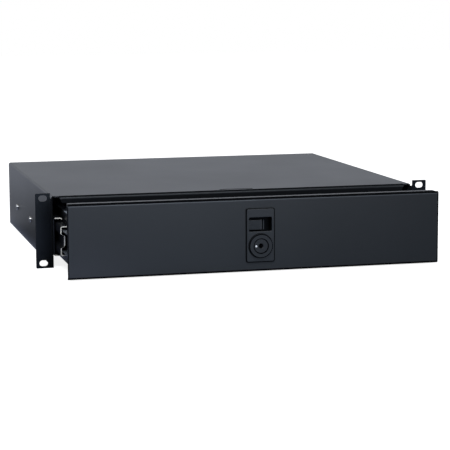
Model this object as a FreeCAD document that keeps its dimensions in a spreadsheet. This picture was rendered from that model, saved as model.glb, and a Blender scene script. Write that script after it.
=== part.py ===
import FreeCAD, Part
import math
import os
import Sketcher

# Sliding rack drawer, two rack units high, for a 19 inch rack.
# Origin: centre of the rack slot pattern, on the rear face of the ears.
# X runs to the right seen from the front, Y runs back into the rack, Z is up.
# The drawer is drawn pulled out by drawer_open, which is the rest position.

doc = FreeCAD.newDocument("sliding_rack_drawer")
sheet = doc.addObject("Spreadsheet::Sheet", "Sizes")
PIECES = []


class Size:
    """A length that knows its value and the sheet formula that gives it."""

    def __init__(self, value, formula):
        self.value = value
        self.formula = formula

    def __add__(self, other):
        other = as_size(other)
        return Size(self.value + other.value, f"({self.formula} + {other.formula})")

    def __sub__(self, other):
        other = as_size(other)
        return Size(self.value - other.value, f"({self.formula} - {other.formula})")

    def __mul__(self, other):
        other = as_size(other)
        return Size(self.value * other.value, f"({self.formula} * {other.formula})")

    def __truediv__(self, other):
        other = as_size(other)
        return Size(self.value / other.value, f"({self.formula} / {other.formula})")

    def __neg__(self):
        return Size(-self.value, f"(0 - {self.formula})")

    def __radd__(self, other):
        return as_size(other) + self

    def __rsub__(self, other):
        return as_size(other) - self

    def __rmul__(self, other):
        return as_size(other) * self


def as_size(amount):
    """A plain number becomes a Size; a Size stays as it is."""
    if isinstance(amount, Size):
        return amount
    return Size(float(amount), repr(float(amount)))


def fill_sheet(numbers):
    """Puts each named size in a row of the sheet and returns it as a Size bound to its cell."""
    bound = {}
    for row, (alias, number) in enumerate(numbers.items(), 1):
        sheet.set(f"A{row}", alias.replace("_", " "))
        sheet.set(f"B{row}", repr(number))
        sheet.setAlias(f"B{row}", alias)
        bound[alias] = Size(float(number), f"Sizes.{alias}")
    return bound


# Rack standard
rack_width = 482.6  # width over the ears
ear_height = 88.1  # height of the ears, two units less play
slot_inset = 8.75  # rack slot centre inboard of the ear end
slot_edge = 5.95  # rack slot centre from the top and bottom of the ear
slot_tall = 7.0  # height of a rack slot
slot_long = 10.0  # length of a rack slot end to end

# Chassis sheet
ear_land = 5.55  # ear between a rack slot and the chassis side
chassis_depth = 392.5  # depth behind the rear face of the ears
chassis_gauge = 1.5  # chassis sheet thickness
bend_inside = 1.0  # inside radius of the sheet bends
top_drop = 4.1  # top sheet below the top of the ears
lip_height = 8.0  # turned down front lip of the top sheet
lip_end = 9.7  # front lip ends inboard of the chassis sides
lip_slant = 2.3  # how far each lip end slants in
relief_clear = 0.2  # bend relief below the bend of the top sheet
relief_width = 1.8  # width of that bend relief
strike_length = 42.0  # latch slot in the top sheet, along X
strike_play = 0.5  # latch slot in front of and behind the bolt
rear_flange = 14.0  # welding flanges of the rear wall
screw_first = 53.5  # first slide screw behind the ear rear face
screw_last = 44.5  # last slide screw from the rear end of the slide
screw_drop = 3.4  # slide screws of the chassis side below the slide centre line

# Slides
slide_rear_room = 42.5  # chassis depth behind the slides
slide_height = 45.1  # height of the fixed slide member
slide_thick = 12.7  # slide thickness, chassis side to drawer side
slide_gauge = 1.2  # slide steel thickness
slide_drop = 7.9  # slide centre line below the origin
slide_bend = 1.5  # inside radius where a slide web meets its raceways
hook_bend = 0.7  # inside radius of a raceway's turned in edge
fixed_short = 2.3  # raceway of the fixed member short of the tray side
race_hook = 2.2  # turned in edge of a raceway
middle_step = 5.35  # middle member inside the fixed one, above and below
middle_short = 12.0  # middle member shorter than the fixed one
middle_start = 3.0  # back of the middle member from the chassis side
middle_short_of_tray = 0.5  # raceway of the middle member short of the tray side
middle_front = 5.0  # front of the middle member when shut
emboss_depth = 4.0  # raised band of the middle member
emboss_height = 12.0  # height of the raised band
emboss_slope = 2.5  # slope of the raised band's edges
inner_step = 4.6  # drawer member inside the middle one, above and below
inner_short = 10.0  # drawer member shorter than the fixed one
inner_clear = 1.4  # raceway of the drawer member to the middle member
inner_front = 4.0  # front of the drawer member when shut
ball_play = 0.12  # clearance of a ball to each raceway
cage_gauge = 0.6  # ball cage thickness
cage_length = 130.0  # length of a ball cage
ball_pitch = 19.0  # spacing of the balls
ball_margin = 8.0  # first ball from the end of its cage
outer_cage_front = 100.0  # front of the outer cage when shut
inner_cage_front = 110.0  # front of the inner cage when shut
cage_clear = 0.6  # outer cage from the web of the fixed member
cage_play = 0.3  # cage hole over a ball, on diameter
cage_end_clear = 0.4  # outer cage to the raceway edge of the fixed member
inner_cage_width = 5.2  # width of an inner cage strip
bumper_long = 5.5  # rubber stop at the rear of a fixed member
bumper_play = 0.2  # gap round the rubber stop
band_round = 0.8  # radius along the raised band

# Drawer
drawer_open = 80.0  # how far the drawer is drawn out at rest
tray_gauge = 1.2  # tray sheet thickness
tray_rear_gap = 22.2  # rear of the shut tray to the rear wall
tray_rise = 6.0  # tray underside above the bottom of the ears
tray_rim_drop = 19.0  # tray rim below the chassis top
tray_flange = 12.0  # inward flange along each tray side
front_wall_drop = 9.5  # tray front wall below the chassis top
tray_screw_first = 36.0  # first tray screw behind the drawer member's front

# Front panel
panel_side = 2.4  # panel ends inboard of the chassis sides
panel_under = 1.4  # lower edge of the panel above the bottom of the ears
panel_over = 2.1  # upper edge of the panel below the top of the ears
panel_gauge = 1.5  # panel sheet thickness
panel_top_flange = 16.0  # depth of the panel's top flange
panel_bottom_flange = 12.0  # depth of the panel's bottom flange
panel_flange_inset = 2.4  # flange ends inboard of the panel ends
panel_gap = 0.4  # gap from the shut panel to the ears
stud_clear = 5.8  # outer panel studs inboard of the tray flanges
stud_inner = 105.0  # inner panel studs from the centre line
stud_low = 11.05  # lower stud row above the bottom of the tray front wall
stud_high = 8.45  # upper stud row below the top of the tray front wall
stud_length = 10.2  # panel stud length behind the panel sheet
stud_nut_flats = 7.0  # stud nut across its flats
stud_nut_thick = 3.2  # stud nut thickness
wall_corner = 6.0  # upper corner radius of the tray front wall
sheet_corner = 1.0  # corner radius of cut sheet edges
thread = 4.0  # thread diameter of studs and screws
thread_play = 0.1  # nut bore over its thread, on diameter
head_dia = 7.6  # pan head diameter of the slide screws
head_high = 2.4  # pan head height of the slide screws
screw_tail = 0.6  # tray screw tip beyond the slide steel
hole_play = 0.3  # clearance hole over a thread, on diameter

# Lock and latch
lock_across = 2.3  # lock and latch centre right of the centre line
lock_drop = 12.85  # lock axis below the origin
plate_side = 2.8  # lock plate beside the thumb recess
plate_above = 9.8  # lock plate above the thumb recess
plate_below = 4.3  # lock plate below the bezel
plate_proud = 2.0  # lock plate thickness in front of the panel
plate_corner = 2.0  # corner radius of the lock plate
window_end = 0.4  # thumb recess past the thumb slide at the end of its travel
window_side = 2.8  # thumb recess above and below the thumb slide
window_land = 2.6  # lock plate between the bezel and the thumb recess
pocket_wall = 1.2  # wall of the thumb recess
pocket_deep = 10.0  # thumb recess depth behind the panel face
bezel_rim = 4.0  # lock bezel beyond the barrel, on radius
bezel_thick = 3.0  # lock bezel in front of the plate
barrel_dia = 20.0  # lock barrel diameter
barrel_back = 22.0  # end of the barrel behind the panel face
barrel_wall = 1.75  # barrel beyond the plug, on radius
plug_play = 0.05  # running clearance of the plug
bezel_edge = 0.9  # edge radius of the bezel and the lock plate
plug_edge = 0.4  # edge radius of the plug face
recess_corner = 1.5  # corner radius inside the thumb recess
plug_sink = 0.8  # plug face behind the bezel face
keyway_width = 2.4  # key slot width
keyway_height = 9.0  # key slot height
keyway_deep = 16.0  # key slot depth
tail_dia = 9.0  # lock tail that carries the cam
cam_clear = 1.6  # front of the cam behind the latch bolt
cam_thick = 2.0  # cam thickness
cam_gap = 1.3  # raised cam below the inside of the chassis top
cam_width = 12.0  # cam width
cam_screw_dia = 7.0  # head diameter of the cam screw
cam_screw_high = 1.6  # head height of the cam screw
nut_rim = 2.0  # lock nut beyond the barrel, on its flats
nut_thick = 4.0  # lock nut thickness
button_width = 18.1  # thumb slide width
button_height = 10.6  # thumb slide height
button_sink = 1.0  # thumb slide face behind the panel face
button_edge = 0.8  # edge radius of the thumb slide
groove_count = 4  # grip grooves in the thumb slide
groove_pitch = 3.4  # spacing of the grip grooves
groove_width = 1.6  # width of a grip groove
groove_deep = 0.8  # depth of a grip groove
groove_end = 1.2  # plain edge above and below the grip grooves
button_play = 0.3  # gap round the thumb slide
stem_width = 6.0  # stem behind the thumb slide, width
stem_height = 5.0  # stem behind the thumb slide, height
stem_shift = 7.3  # stem centre left of the lock axis
small_screw = 2.5  # thread of the cam plate screw
slider_front = 21.5  # cam plate behind the panel face
slider_thick = 2.0  # cam plate thickness
slider_width = 28.0  # cam plate width
slider_low = 4.0  # cam plate lower edge above the origin
guide_height = 6.2  # height of the bolt guide
bolt_clear = 0.9  # latch bolt behind the cam plate
bolt_thick = 4.0  # latch bolt thickness
bolt_width = 24.0  # latch bolt width
bolt_gap = 0.5  # lowered bolt below the front lip of the chassis
bolt_low = 2.05  # lower end of the lowered bolt below the origin
pin_dia = 4.0  # follower pin diameter
pin_play = 0.4  # lift slot over the follower pin, on diameter
bolt_nose = 1.5  # radius of the bolt's front top edge
guide_play = 0.15  # gap round the bolt in its guide
guide_wall = 2.6  # wall of the bolt guide beside the bolt
guide_back = 0.8  # wall of the bolt guide behind the bolt
guide_front = 2.4  # wall of the bolt guide in front of the bolt
guide_clear = 0.4  # bolt guide above the cam plate
pin_shift = 7.7  # follower pin right of the lock axis
pin_depth = 14.5  # follower pin below the top of the cam plate, bolt down
cover_room = 10.0  # latch cover past the tip of the unlocked cam
cover_right = 30.0  # latch cover right of the lock axis
cover_clear = 0.4  # latch cover behind the head of the cam screw
cover_gap = 1.35  # latch cover below the front lip of the chassis
cover_rise = 8.05  # bottom of the latch cover above the tray underside
cover_tab = 11.0  # fixing tabs of the latch cover
cover_screw_inset = 10.0  # cover screws from the cover's top and bottom
slit_clear = 0.2  # bolt guide to the open strip that the cam rises through

# From here on each name above stands for its cell of the sheet
NUMBERS = {name: value for name, value in globals().items() if type(value) in (int, float)}
globals().update(fill_sheet(NUMBERS))

# Places worked out from the sizes above
slot_pitch_across = rack_width - slot_inset * 2
slot_pitch_up = ear_height - slot_edge * 2
chassis_width = rack_width - (slot_inset + slot_long / 2 + ear_land) * 2
half_chassis = chassis_width / 2
side_inside = half_chassis - chassis_gauge
half_ear = ear_height / 2
top_face = half_ear - top_drop
top_inside = top_face - chassis_gauge
lip_bottom = top_face - lip_height
lip_width = chassis_width - lip_end * 2
bend_outside = bend_inside + chassis_gauge
relief_depth = top_drop + bend_outside + relief_clear

slide_level = -slide_drop
screw_level = slide_level - screw_drop
slide_length = chassis_depth - slide_rear_room
screw_pitch = (slide_length - screw_first - screw_last) / 2
middle_length = slide_length - middle_short
inner_length = slide_length - inner_short
middle_height = slide_height - middle_step * 2
inner_height = middle_height - inner_step * 2
fixed_lip = slide_thick - fixed_short
middle_lip = slide_thick - middle_start - middle_short_of_tray
inner_lip = slide_thick - middle_start - slide_gauge - inner_clear
outer_ball_out = (slide_gauge + fixed_lip) / 2
inner_ball_out = middle_start + (slide_gauge + middle_lip) / 2
outer_cage_reach = fixed_lip - slide_gauge * 2 - cage_clear - cage_end_clear

face_shut = -(chassis_gauge + panel_gap + panel_top_flange)
face = face_shut - drawer_open
tray_outside = side_inside - slide_thick
tray_inside = tray_outside - tray_gauge
tray_floor = tray_rise - half_ear
tray_rim = top_face - tray_rim_drop
front_wall_top = top_face - front_wall_drop
tray_length = chassis_depth - chassis_gauge - tray_rear_gap - face_shut - panel_gauge - tray_gauge
panel_width = chassis_width - panel_side * 2
panel_low = panel_under - half_ear
panel_high = half_ear - panel_over
stud_across = tray_outside - tray_flange - stud_clear
stud_rows = (tray_floor + stud_low, front_wall_top - stud_high)

lock_level = -lock_drop
bezel_dia = barrel_dia + bezel_rim * 2
plug_dia = barrel_dia - barrel_wall * 2
nut_across = barrel_dia + nut_rim * 2
button_stroke = lip_height
window_width = button_width + button_stroke + button_play + window_end
window_height = button_height + window_side * 2
window_low = lock_level + bezel_dia / 2 + window_land
window_high = window_low + window_height
window_rise = window_low + window_height / 2
window_left = lock_across - window_width / 2
window_right = lock_across + window_width / 2
plate_width = window_width + plate_side * 2
plate_top = window_high + plate_above
plate_bottom = lock_level - bezel_dia / 2 - plate_below
bolt_front = slider_front + slider_thick + bolt_clear
bolt_top = lip_bottom - bolt_gap
strike_setback = face_shut + bolt_front + bolt_thick / 2
strike_width = bolt_thick + strike_play * 2
cam_back = bolt_front + bolt_thick + cam_clear
cam_reach = top_inside + lock_drop - cam_gap
cover_left = cam_reach + cover_room
cover_back = cam_back + cam_thick + cam_screw_high + cover_clear
cover_top = lip_bottom - cover_gap
cover_bottom = tray_floor + cover_rise
cover_slit = cover_back - bolt_front - bolt_thick - guide_back - slit_clear
slider_high = cover_top - guide_height - guide_clear
pin_rise = slider_high - pin_depth


def behind(depth):
    """Place along Y of something that lies depth behind the panel face."""
    return face + depth


def bind(thing, prop, size):
    """Ties a property of a document object to the sheet."""
    thing.setExpression(prop, as_size(size).formula)


def keep(thing, label):
    """Notes a finished sub-part under the name of its node."""
    thing.Label = label
    PIECES.append(thing)
    return thing


# Sketching

PLANE_NORMAL = {"XY": 1, "XZ": -1, "YZ": 1}


def add_polygon(sketch, points):
    """Closed outline through points, each vertex placed from the sketch origin."""
    first = sketch.GeometryCount
    total = len(points)
    vectors = [FreeCAD.Vector(as_size(u).value, as_size(v).value, 0) for u, v in points]
    for index in range(total):
        line = Part.LineSegment(vectors[index], vectors[(index + 1) % total])
        sketch.addGeometry(line, False)
    for index in range(total):
        following = first + (index + 1) % total
        sketch.addConstraint(Sketcher.Constraint("Coincident", first + index, 2, following, 1))
    for index, (u, v) in enumerate(points):
        place_point(sketch, first + index, 1, u, v)


def place_point(sketch, element, vertex, u, v):
    """Ties one sketch point to the sheet along both sketch axes."""
    for kind, size in (("DistanceX", as_size(u)), ("DistanceY", as_size(v))):
        sketch.addConstraint(Sketcher.Constraint(kind, -1, 1, element, vertex, size.value))
        bind(sketch, f"Constraints[{sketch.ConstraintCount - 1}]", size)


def add_circle(sketch, u, v, diameter):
    """Circle with its centre and radius tied to the sheet."""
    radius = as_size(diameter) / 2
    centre = FreeCAD.Vector(as_size(u).value, as_size(v).value, 0)
    index = sketch.addGeometry(Part.Circle(centre, FreeCAD.Vector(0, 0, 1), radius.value), False)
    place_point(sketch, index, 3, u, v)
    sketch.addConstraint(Sketcher.Constraint("Radius", index, radius.value))
    bind(sketch, f"Constraints[{sketch.ConstraintCount - 1}]", radius)


def add_obround(sketch, start, end, width):
    """Round ended slot between two centres, at any slant."""
    radius = as_size(width) / 2
    centres = [FreeCAD.Vector(as_size(u).value, as_size(v).value, 0) for u, v in (start, end)]
    along = (centres[1] - centres[0]).normalize()
    turn = math.atan2(along.y, along.x)
    up = FreeCAD.Vector(0, 0, 1)
    side = FreeCAD.Vector(-along.y, along.x, 0) * radius.value
    quarter = math.pi / 2
    arcs = []
    for centre, begin in ((centres[0], turn + quarter), (centres[1], turn - quarter)):
        circle = Part.Circle(centre, up, radius.value)
        arc = Part.ArcOfCircle(circle, begin, begin + 2 * quarter)
        arcs.append(sketch.addGeometry(arc, False))
    low = sketch.addGeometry(Part.LineSegment(centres[0] - side, centres[1] - side), False)
    high = sketch.addGeometry(Part.LineSegment(centres[1] + side, centres[0] + side), False)
    joins = ((arcs[0], 2, low, 1), (low, 2, arcs[1], 1), (arcs[1], 2, high, 1), (high, 2, arcs[0], 1))
    for join in joins:
        sketch.addConstraint(Sketcher.Constraint("Tangent", *join))
    for index, (u, v) in zip(arcs, (start, end)):
        place_point(sketch, index, 3, u, v)
        sketch.addConstraint(Sketcher.Constraint("Radius", index, radius.value))
        bind(sketch, f"Constraints[{sketch.ConstraintCount - 1}]", radius)


def new_sketch(body, name, plane, start):
    """Sketch on one of the body's own origin planes, moved to start along its axis."""
    sketch = body.newObject("Sketcher::SketchObject", name)
    planes = {item.Role: item for item in body.Origin.OriginFeatures}
    sketch.AttachmentSupport = [(planes[f"{plane}_Plane"], "")]
    sketch.MapMode = "FlatFace"
    bind(sketch, "AttachmentOffset.Base.z", as_size(start) * PLANE_NORMAL[plane])
    return sketch


def draw(sketch, loops):
    """Draws every loop: a list of points, or a named round shape."""
    for loop in loops:
        if loop[0] == "circle":
            add_circle(sketch, *loop[1:])
        elif loop[0] == "obround":
            add_obround(sketch, *loop[1:])
        else:
            add_polygon(sketch, loop)


def pad(body, name, plane, start, length, loops):
    """Adds material from start in the positive direction of the plane's axis."""
    sketch = new_sketch(body, f"{name}_outline", plane, start)
    draw(sketch, loops)
    feature = body.newObject("PartDesign::Pad", name)
    feature.Profile = sketch
    feature.Reversed = PLANE_NORMAL[plane] < 0
    bind(feature, "Length", length)
    doc.recompute()
    return feature


def pocket(body, name, plane, start, length, loops):
    """Takes material away from start in the positive direction of the plane's axis."""
    before = body.Shape.Volume
    sketch = new_sketch(body, f"{name}_outline", plane, start)
    draw(sketch, loops)
    feature = body.newObject("PartDesign::Pocket", name)
    feature.Profile = sketch
    feature.Reversed = PLANE_NORMAL[plane] > 0
    bind(feature, "Length", length)
    doc.recompute()
    if not body.Shape.Volume < before - 1e-6:
        raise RuntimeError(f"{name} cut nothing")
    return feature


def edges_at(shape, axis, places, tolerance=0.02):
    """Names of the straight edges along one axis whose other two coordinates match."""
    others = [index for index in range(3) if index != axis]
    wanted = [[as_size(number).value for number in place] for place in places]
    names = []
    for index, edge in enumerate(shape.Edges, 1):
        first, last = edge.Vertexes[0].Point, edge.Vertexes[-1].Point
        span = last - first
        if abs(abs(span[axis]) - edge.Length) > 1e-6 or edge.Length < 1e-6:
            continue
        here = [first[other] for other in others]
        if any(all(abs(a - b) < tolerance for a, b in zip(here, place)) for place in wanted):
            names.append(f"Edge{index}")
    return names


def round_edges(body, name, axis, places, radius):
    """Fillets the edges along one axis (0 X, 1 Y, 2 Z) that pass through the given places."""
    base = body.Tip
    names = edges_at(base.Shape, axis, places)
    if not names:
        raise RuntimeError(f"{name} found no edges")
    feature = body.newObject("PartDesign::Fillet", name)
    feature.Base = (base, names)
    bind(feature, "Radius", radius)
    doc.recompute()
    return feature


def round_rims(body, name, level, radius):
    """Fillets every edge that lies in the plane at level along Y, such as the rim of a front face."""
    base = body.Tip
    place = as_size(level).value
    names = []
    for index, edge in enumerate(base.Shape.Edges, 1):
        box = edge.BoundBox
        if abs(box.YMin - place) < 1e-4 and abs(box.YMax - place) < 1e-4:
            names.append(f"Edge{index}")
    if not names:
        raise RuntimeError(f"{name} found no rims")
    feature = body.newObject("PartDesign::Fillet", name)
    feature.Base = (base, names)
    bind(feature, "Radius", radius)
    doc.recompute()
    return feature


def new_body(label):
    """An empty body whose label is the name of its node."""
    body = doc.addObject("PartDesign::Body", label)
    return keep(body, label)


def rectangle(low_u, low_v, high_u, high_v):
    """Corner points of a rectangle."""
    return [(low_u, low_v), (high_u, low_v), (high_u, high_v), (low_u, high_v)]


# Chassis

slide_screw_rows = [screw_first + screw_pitch * index for index in range(3)]


def make_chassis_shell():
    """Top and sides folded from one sheet, ears bent outward, front lip turned down."""
    body = new_body("chassis_shell")
    outline = [(-half_chassis, -half_ear), (-half_chassis, top_face), (half_chassis, top_face),
               (half_chassis, -half_ear), (side_inside, -half_ear), (side_inside, top_inside),
               (-side_inside, top_inside), (-side_inside, -half_ear)]
    front = -chassis_gauge
    pad(body, "cover", "XZ", front, chassis_depth + chassis_gauge, [outline])
    relief = half_ear - relief_depth
    reliefs = [rectangle(lip_width / 2 * side, relief, (half_chassis + 1) * side, top_face + 1)
               for side in (-1, 1)]
    pocket(body, "corner_reliefs", "XZ", front - 1, bend_outside + 1, reliefs)
    for side, word in ((-1, "left"), (1, "right")):
        ear_end = rack_width / 2 * side
        relief_edge = (half_chassis + relief_width) * side
        ear = [(side_inside * side, -half_ear), (ear_end, -half_ear), (ear_end, half_ear),
               (relief_edge, half_ear), (relief_edge, relief), (side_inside * side, relief)]
        pad(body, f"{word}_ear", "XZ", front, chassis_gauge, [ear])
    half_lip = lip_width / 2
    slant = half_lip - lip_slant
    knee = top_inside - bend_inside
    lip = [(-slant, lip_bottom), (slant, lip_bottom), (half_lip, knee), (half_lip, top_face),
           (-half_lip, top_face), (-half_lip, knee)]
    pad(body, "front_lip", "XZ", front, chassis_gauge, [lip])
    level = (slot_pitch_up / 2, -slot_pitch_up / 2)
    half_run = (slot_long - slot_tall) / 2
    slots = []
    for across in (-slot_pitch_across / 2, slot_pitch_across / 2):
        for height in level:
            slots.append(("obround", (across - half_run, height), (across + half_run, height), slot_tall))
    pocket(body, "rack_slots", "XZ", front - 1, chassis_gauge + 2, slots)
    half_run = (strike_length - strike_width) / 2
    strike = ("obround", (lock_across - half_run, strike_setback),
              (lock_across + half_run, strike_setback), strike_width)
    pocket(body, "strike_slot", "XY", top_inside - 1, chassis_gauge + 2, [strike])
    holes = [("circle", row, screw_level, thread + hole_play) for row in slide_screw_rows]
    pocket(body, "slide_screw_holes", "YZ", -half_chassis - 1, chassis_width + 2, holes)
    mirrored = [(half_chassis, top_face), (-half_chassis, top_face)]
    round_edges(body, "top_bends_outside", 1, mirrored, bend_outside)
    mirrored = [(side_inside, top_inside), (-side_inside, top_inside)]
    round_edges(body, "top_bends_inside", 1, mirrored, bend_inside)
    round_edges(body, "ear_bends_front", 2, [(side_inside, front), (-side_inside, front)], bend_outside)
    round_edges(body, "ear_bends_rear", 2, [(half_chassis, 0), (-half_chassis, 0)], bend_inside)
    round_edges(body, "lip_bend_outside", 0, [(front, top_face)], bend_outside)
    round_edges(body, "lip_bend_inside", 0, [(0, top_inside)], bend_inside)
    ends = rack_width / 2
    corners = [(ends, half_ear), (ends, -half_ear), (-ends, half_ear), (-ends, -half_ear)]
    round_edges(body, "ear_corners", 1, corners, sheet_corner)
    relief_root = [((half_chassis + relief_width) * side, relief) for side in (-1, 1)]
    round_edges(body, "relief_roots", 1, relief_root, sheet_corner)
    return body


def make_chassis_rear_wall():
    """Rear wall with flanges turned forward, welded inside the cover, its corners relieved."""
    body = new_body("chassis_rear_wall")
    rear = chassis_depth
    front = rear - chassis_gauge
    top = top_inside
    span = side_inside - bend_outside
    shoulder = top - bend_outside
    plate = [(-side_inside, -half_ear), (side_inside, -half_ear), (side_inside, shoulder),
             (span, shoulder), (span, top), (-span, top), (-span, shoulder), (-side_inside, shoulder)]
    pad(body, "plate", "XZ", front, chassis_gauge, [plate])
    within = side_inside - chassis_gauge
    flanges = [rectangle(within * side, -half_ear, side_inside * side, shoulder) for side in (-1, 1)]
    flanges.append(rectangle(-span, top - chassis_gauge, span, top))
    pad(body, "flanges", "XZ", rear - rear_flange, rear_flange, flanges)
    round_edges(body, "side_bends_inside", 2, [(within, front), (-within, front)], bend_inside)
    round_edges(body, "side_bends_outside", 2, [(side_inside, rear), (-side_inside, rear)], bend_outside)
    return body


# Slides

half_fixed = slide_height / 2
half_middle = middle_height / 2
half_inner = inner_height / 2
outer_gap = half_fixed - slide_gauge - half_middle
inner_gap = half_middle - slide_gauge - half_inner
outer_ball_dia = outer_gap - ball_play * 2
inner_ball_dia = inner_gap - ball_play * 2
outer_ball_level = half_middle + outer_gap / 2
inner_ball_level = half_inner + inner_gap / 2
inner_web = slide_thick - slide_gauge


def across(side, out):
    """Place along X of something that lies out from the chassis side, toward the drawer."""
    return (side_inside - out) * side


def section(side, half_points):
    """Section of a slide member from its upper half, listed from the back round to the front."""
    upper = [(across(side, out), slide_level + up) for out, up in half_points]
    lower = [(across(side, out), slide_level - up) for out, up in reversed(half_points)]
    return upper + lower


def bend_places(side, corners):
    """Places of slide bends, above and below the centre line."""
    return [(across(side, out), slide_level + up * sign) for out, up in corners for sign in (-1, 1)]


def round_sheet_bends(body, side, word, outside, inside, radius):
    """Rounds both faces of the slide bends that lie at the given corners of the upper half."""
    round_edges(body, f"{word}_bends_inside", 1, bend_places(side, inside), radius)
    round_edges(body, f"{word}_bends_outside", 1, bend_places(side, outside), radius + slide_gauge)


def round_holes(levels, rows, diameter):
    """Circles at every row and level, for a cut through a side."""
    return [("circle", row, level, diameter) for level in levels for row in rows]


def make_fixed_member(side, word):
    """Fixed member: a channel against the chassis side with raceways turned in."""
    body = new_body(f"{word}_slide_fixed_member")
    gauge = slide_gauge
    reach = fixed_lip
    top = half_fixed
    half = [(0, top), (reach, top), (reach, top - race_hook), (reach - gauge, top - race_hook),
            (reach - gauge, top - gauge), (gauge, top - gauge)]
    pad(body, "channel", "XZ", 0, slide_length, [section(side, half)])
    low = across(side, (1 + side) / 2 * gauge) - 0.5
    holes = round_holes([screw_level], slide_screw_rows, thread + hole_play)
    pocket(body, "screw_holes", "YZ", low, gauge + 1, holes)
    round_sheet_bends(body, side, "web", [(0, top)], [(gauge, top - gauge)], slide_bend)
    round_sheet_bends(body, side, "hook", [(reach, top)], [(reach - gauge, top - gauge)], hook_bend)
    return body


def make_middle_member(side, word):
    """Middle member: a channel open to the drawer, with a raised band along its web."""
    body = new_body(f"{word}_slide_middle_member")
    gauge = slide_gauge
    back = middle_start
    reach = middle_start + middle_lip
    top = half_middle
    raised = middle_start + emboss_depth
    band = emboss_height / 2
    half = [(raised, band), (back, band + emboss_slope), (back, top), (reach, top),
            (reach, top - race_hook), (reach - gauge, top - race_hook), (reach - gauge, top - gauge),
            (back + gauge, top - gauge), (back + gauge, band + emboss_slope - gauge / 2),
            (raised + gauge, band - gauge / 2)]
    start = middle_front - drawer_open / 2
    pad(body, "channel", "XZ", start, middle_length, [section(side, half)])
    round_sheet_bends(body, side, "web", [(back, top)], [(back + gauge, top - gauge)], slide_bend)
    round_sheet_bends(body, side, "hook", [(reach, top)], [(reach - gauge, top - gauge)], hook_bend)
    band_edges = bend_places(side, [(raised, band), (raised + gauge, band - gauge / 2),
                                    (back, band + emboss_slope),
                                    (back + gauge, band + emboss_slope - gauge / 2)])
    round_edges(body, "band_bends", 1, band_edges, band_round)
    return body


tray_screw_rows = [inner_front - drawer_open + tray_screw_first + screw_pitch * index
                   for index in range(3)]


def make_drawer_member(side, word):
    """Drawer member: a channel against the tray side, open to the chassis."""
    body = new_body(f"{word}_slide_drawer_member")
    gauge = slide_gauge
    back = slide_thick
    reach = slide_thick - inner_lip
    top = half_inner
    half = [(back, top), (reach, top), (reach, top - gauge), (inner_web, top - gauge)]
    pad(body, "channel", "XZ", inner_front - drawer_open, inner_length, [section(side, half)])
    low = across(side, slide_thick - (1 - side) / 2 * gauge) - 0.5
    holes = round_holes([slide_level], tray_screw_rows, thread + hole_play)
    pocket(body, "screw_holes", "YZ", low, gauge + 1, holes)
    round_sheet_bends(body, side, "web", [(back, top)], [(inner_web, top - gauge)], slide_bend)
    return body


def ball_rows(front):
    """Places along Y of the balls in a cage that starts at front."""
    count = int((cage_length - ball_margin * 2).value / ball_pitch.value + 0.01) + 1
    return [front + ball_margin + ball_pitch * index for index in range(count)]


def make_outer_cage(side, word):
    """Cage of the outer ball rows: one strip bent round the middle member."""
    body = new_body(f"{word}_outer_ball_cage")
    gauge = cage_gauge
    back = slide_gauge + cage_clear
    top = outer_ball_level + gauge / 2
    reach = back + outer_cage_reach
    half = [(back, top), (reach, top), (reach, top - gauge), (back + gauge, top - gauge)]
    front = outer_cage_front - drawer_open / 4
    pad(body, "strip", "XZ", front, cage_length, [section(side, half)])
    hole = outer_ball_dia + cage_play
    holes = [("circle", across(side, outer_ball_out), row, hole) for row in ball_rows(front)]
    pocket(body, "ball_holes", "XY", slide_level - top - 1, top * 2 + 2, holes)
    return body


def make_inner_cage(side, word):
    """Cage of the inner ball rows: one flat strip above and one below."""
    body = new_body(f"{word}_inner_ball_cage")
    front = inner_cage_front - drawer_open * 3 / 4
    half = cage_gauge / 2
    near = across(side, inner_ball_out - inner_cage_width / 2)
    far = across(side, inner_ball_out + inner_cage_width / 2)
    strips = []
    for level in (slide_level + inner_ball_level, slide_level - inner_ball_level):
        strips.append(rectangle(near, level - half, far, level + half))
    pad(body, "strips", "XZ", front, cage_length, strips)
    hole = inner_ball_dia + cage_play
    holes = [("circle", across(side, inner_ball_out), row, hole) for row in ball_rows(front)]
    pocket(body, "ball_holes", "XY", slide_level - inner_ball_level - 1, inner_ball_level * 2 + 2, holes)
    return body


def make_balls(side, name, front, out, level, diameter):
    """Steel balls of one cage, upper and lower row, as a group of separate solids."""
    balls = []
    for row in ball_rows(front):
        for height in (slide_level + level, slide_level - level):
            centre = FreeCAD.Vector(across(side, out).value, row.value, height.value)
            balls.append(Part.makeSphere(diameter.value / 2, centre))
    group = doc.addObject("Part::Feature", name)
    group.Shape = Part.makeCompound(balls)
    return keep(group, name)


def make_bumper(side, word):
    """Rubber stop that fills the rear end of a fixed member."""
    body = new_body(f"{word}_slide_bumper")
    near = across(side, slide_gauge + bumper_play)
    far = across(side, fixed_lip - slide_gauge - bumper_play)
    high = half_fixed - slide_gauge - bumper_play
    block = rectangle(near, slide_level - high, far, slide_level + high)
    pad(body, "block", "XZ", slide_length - bumper_long, bumper_long, [block])
    root = [(near, slide_level + high), (near, slide_level - high)]
    round_edges(body, "root_rounds", 1, root, slide_bend)
    return body


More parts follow.
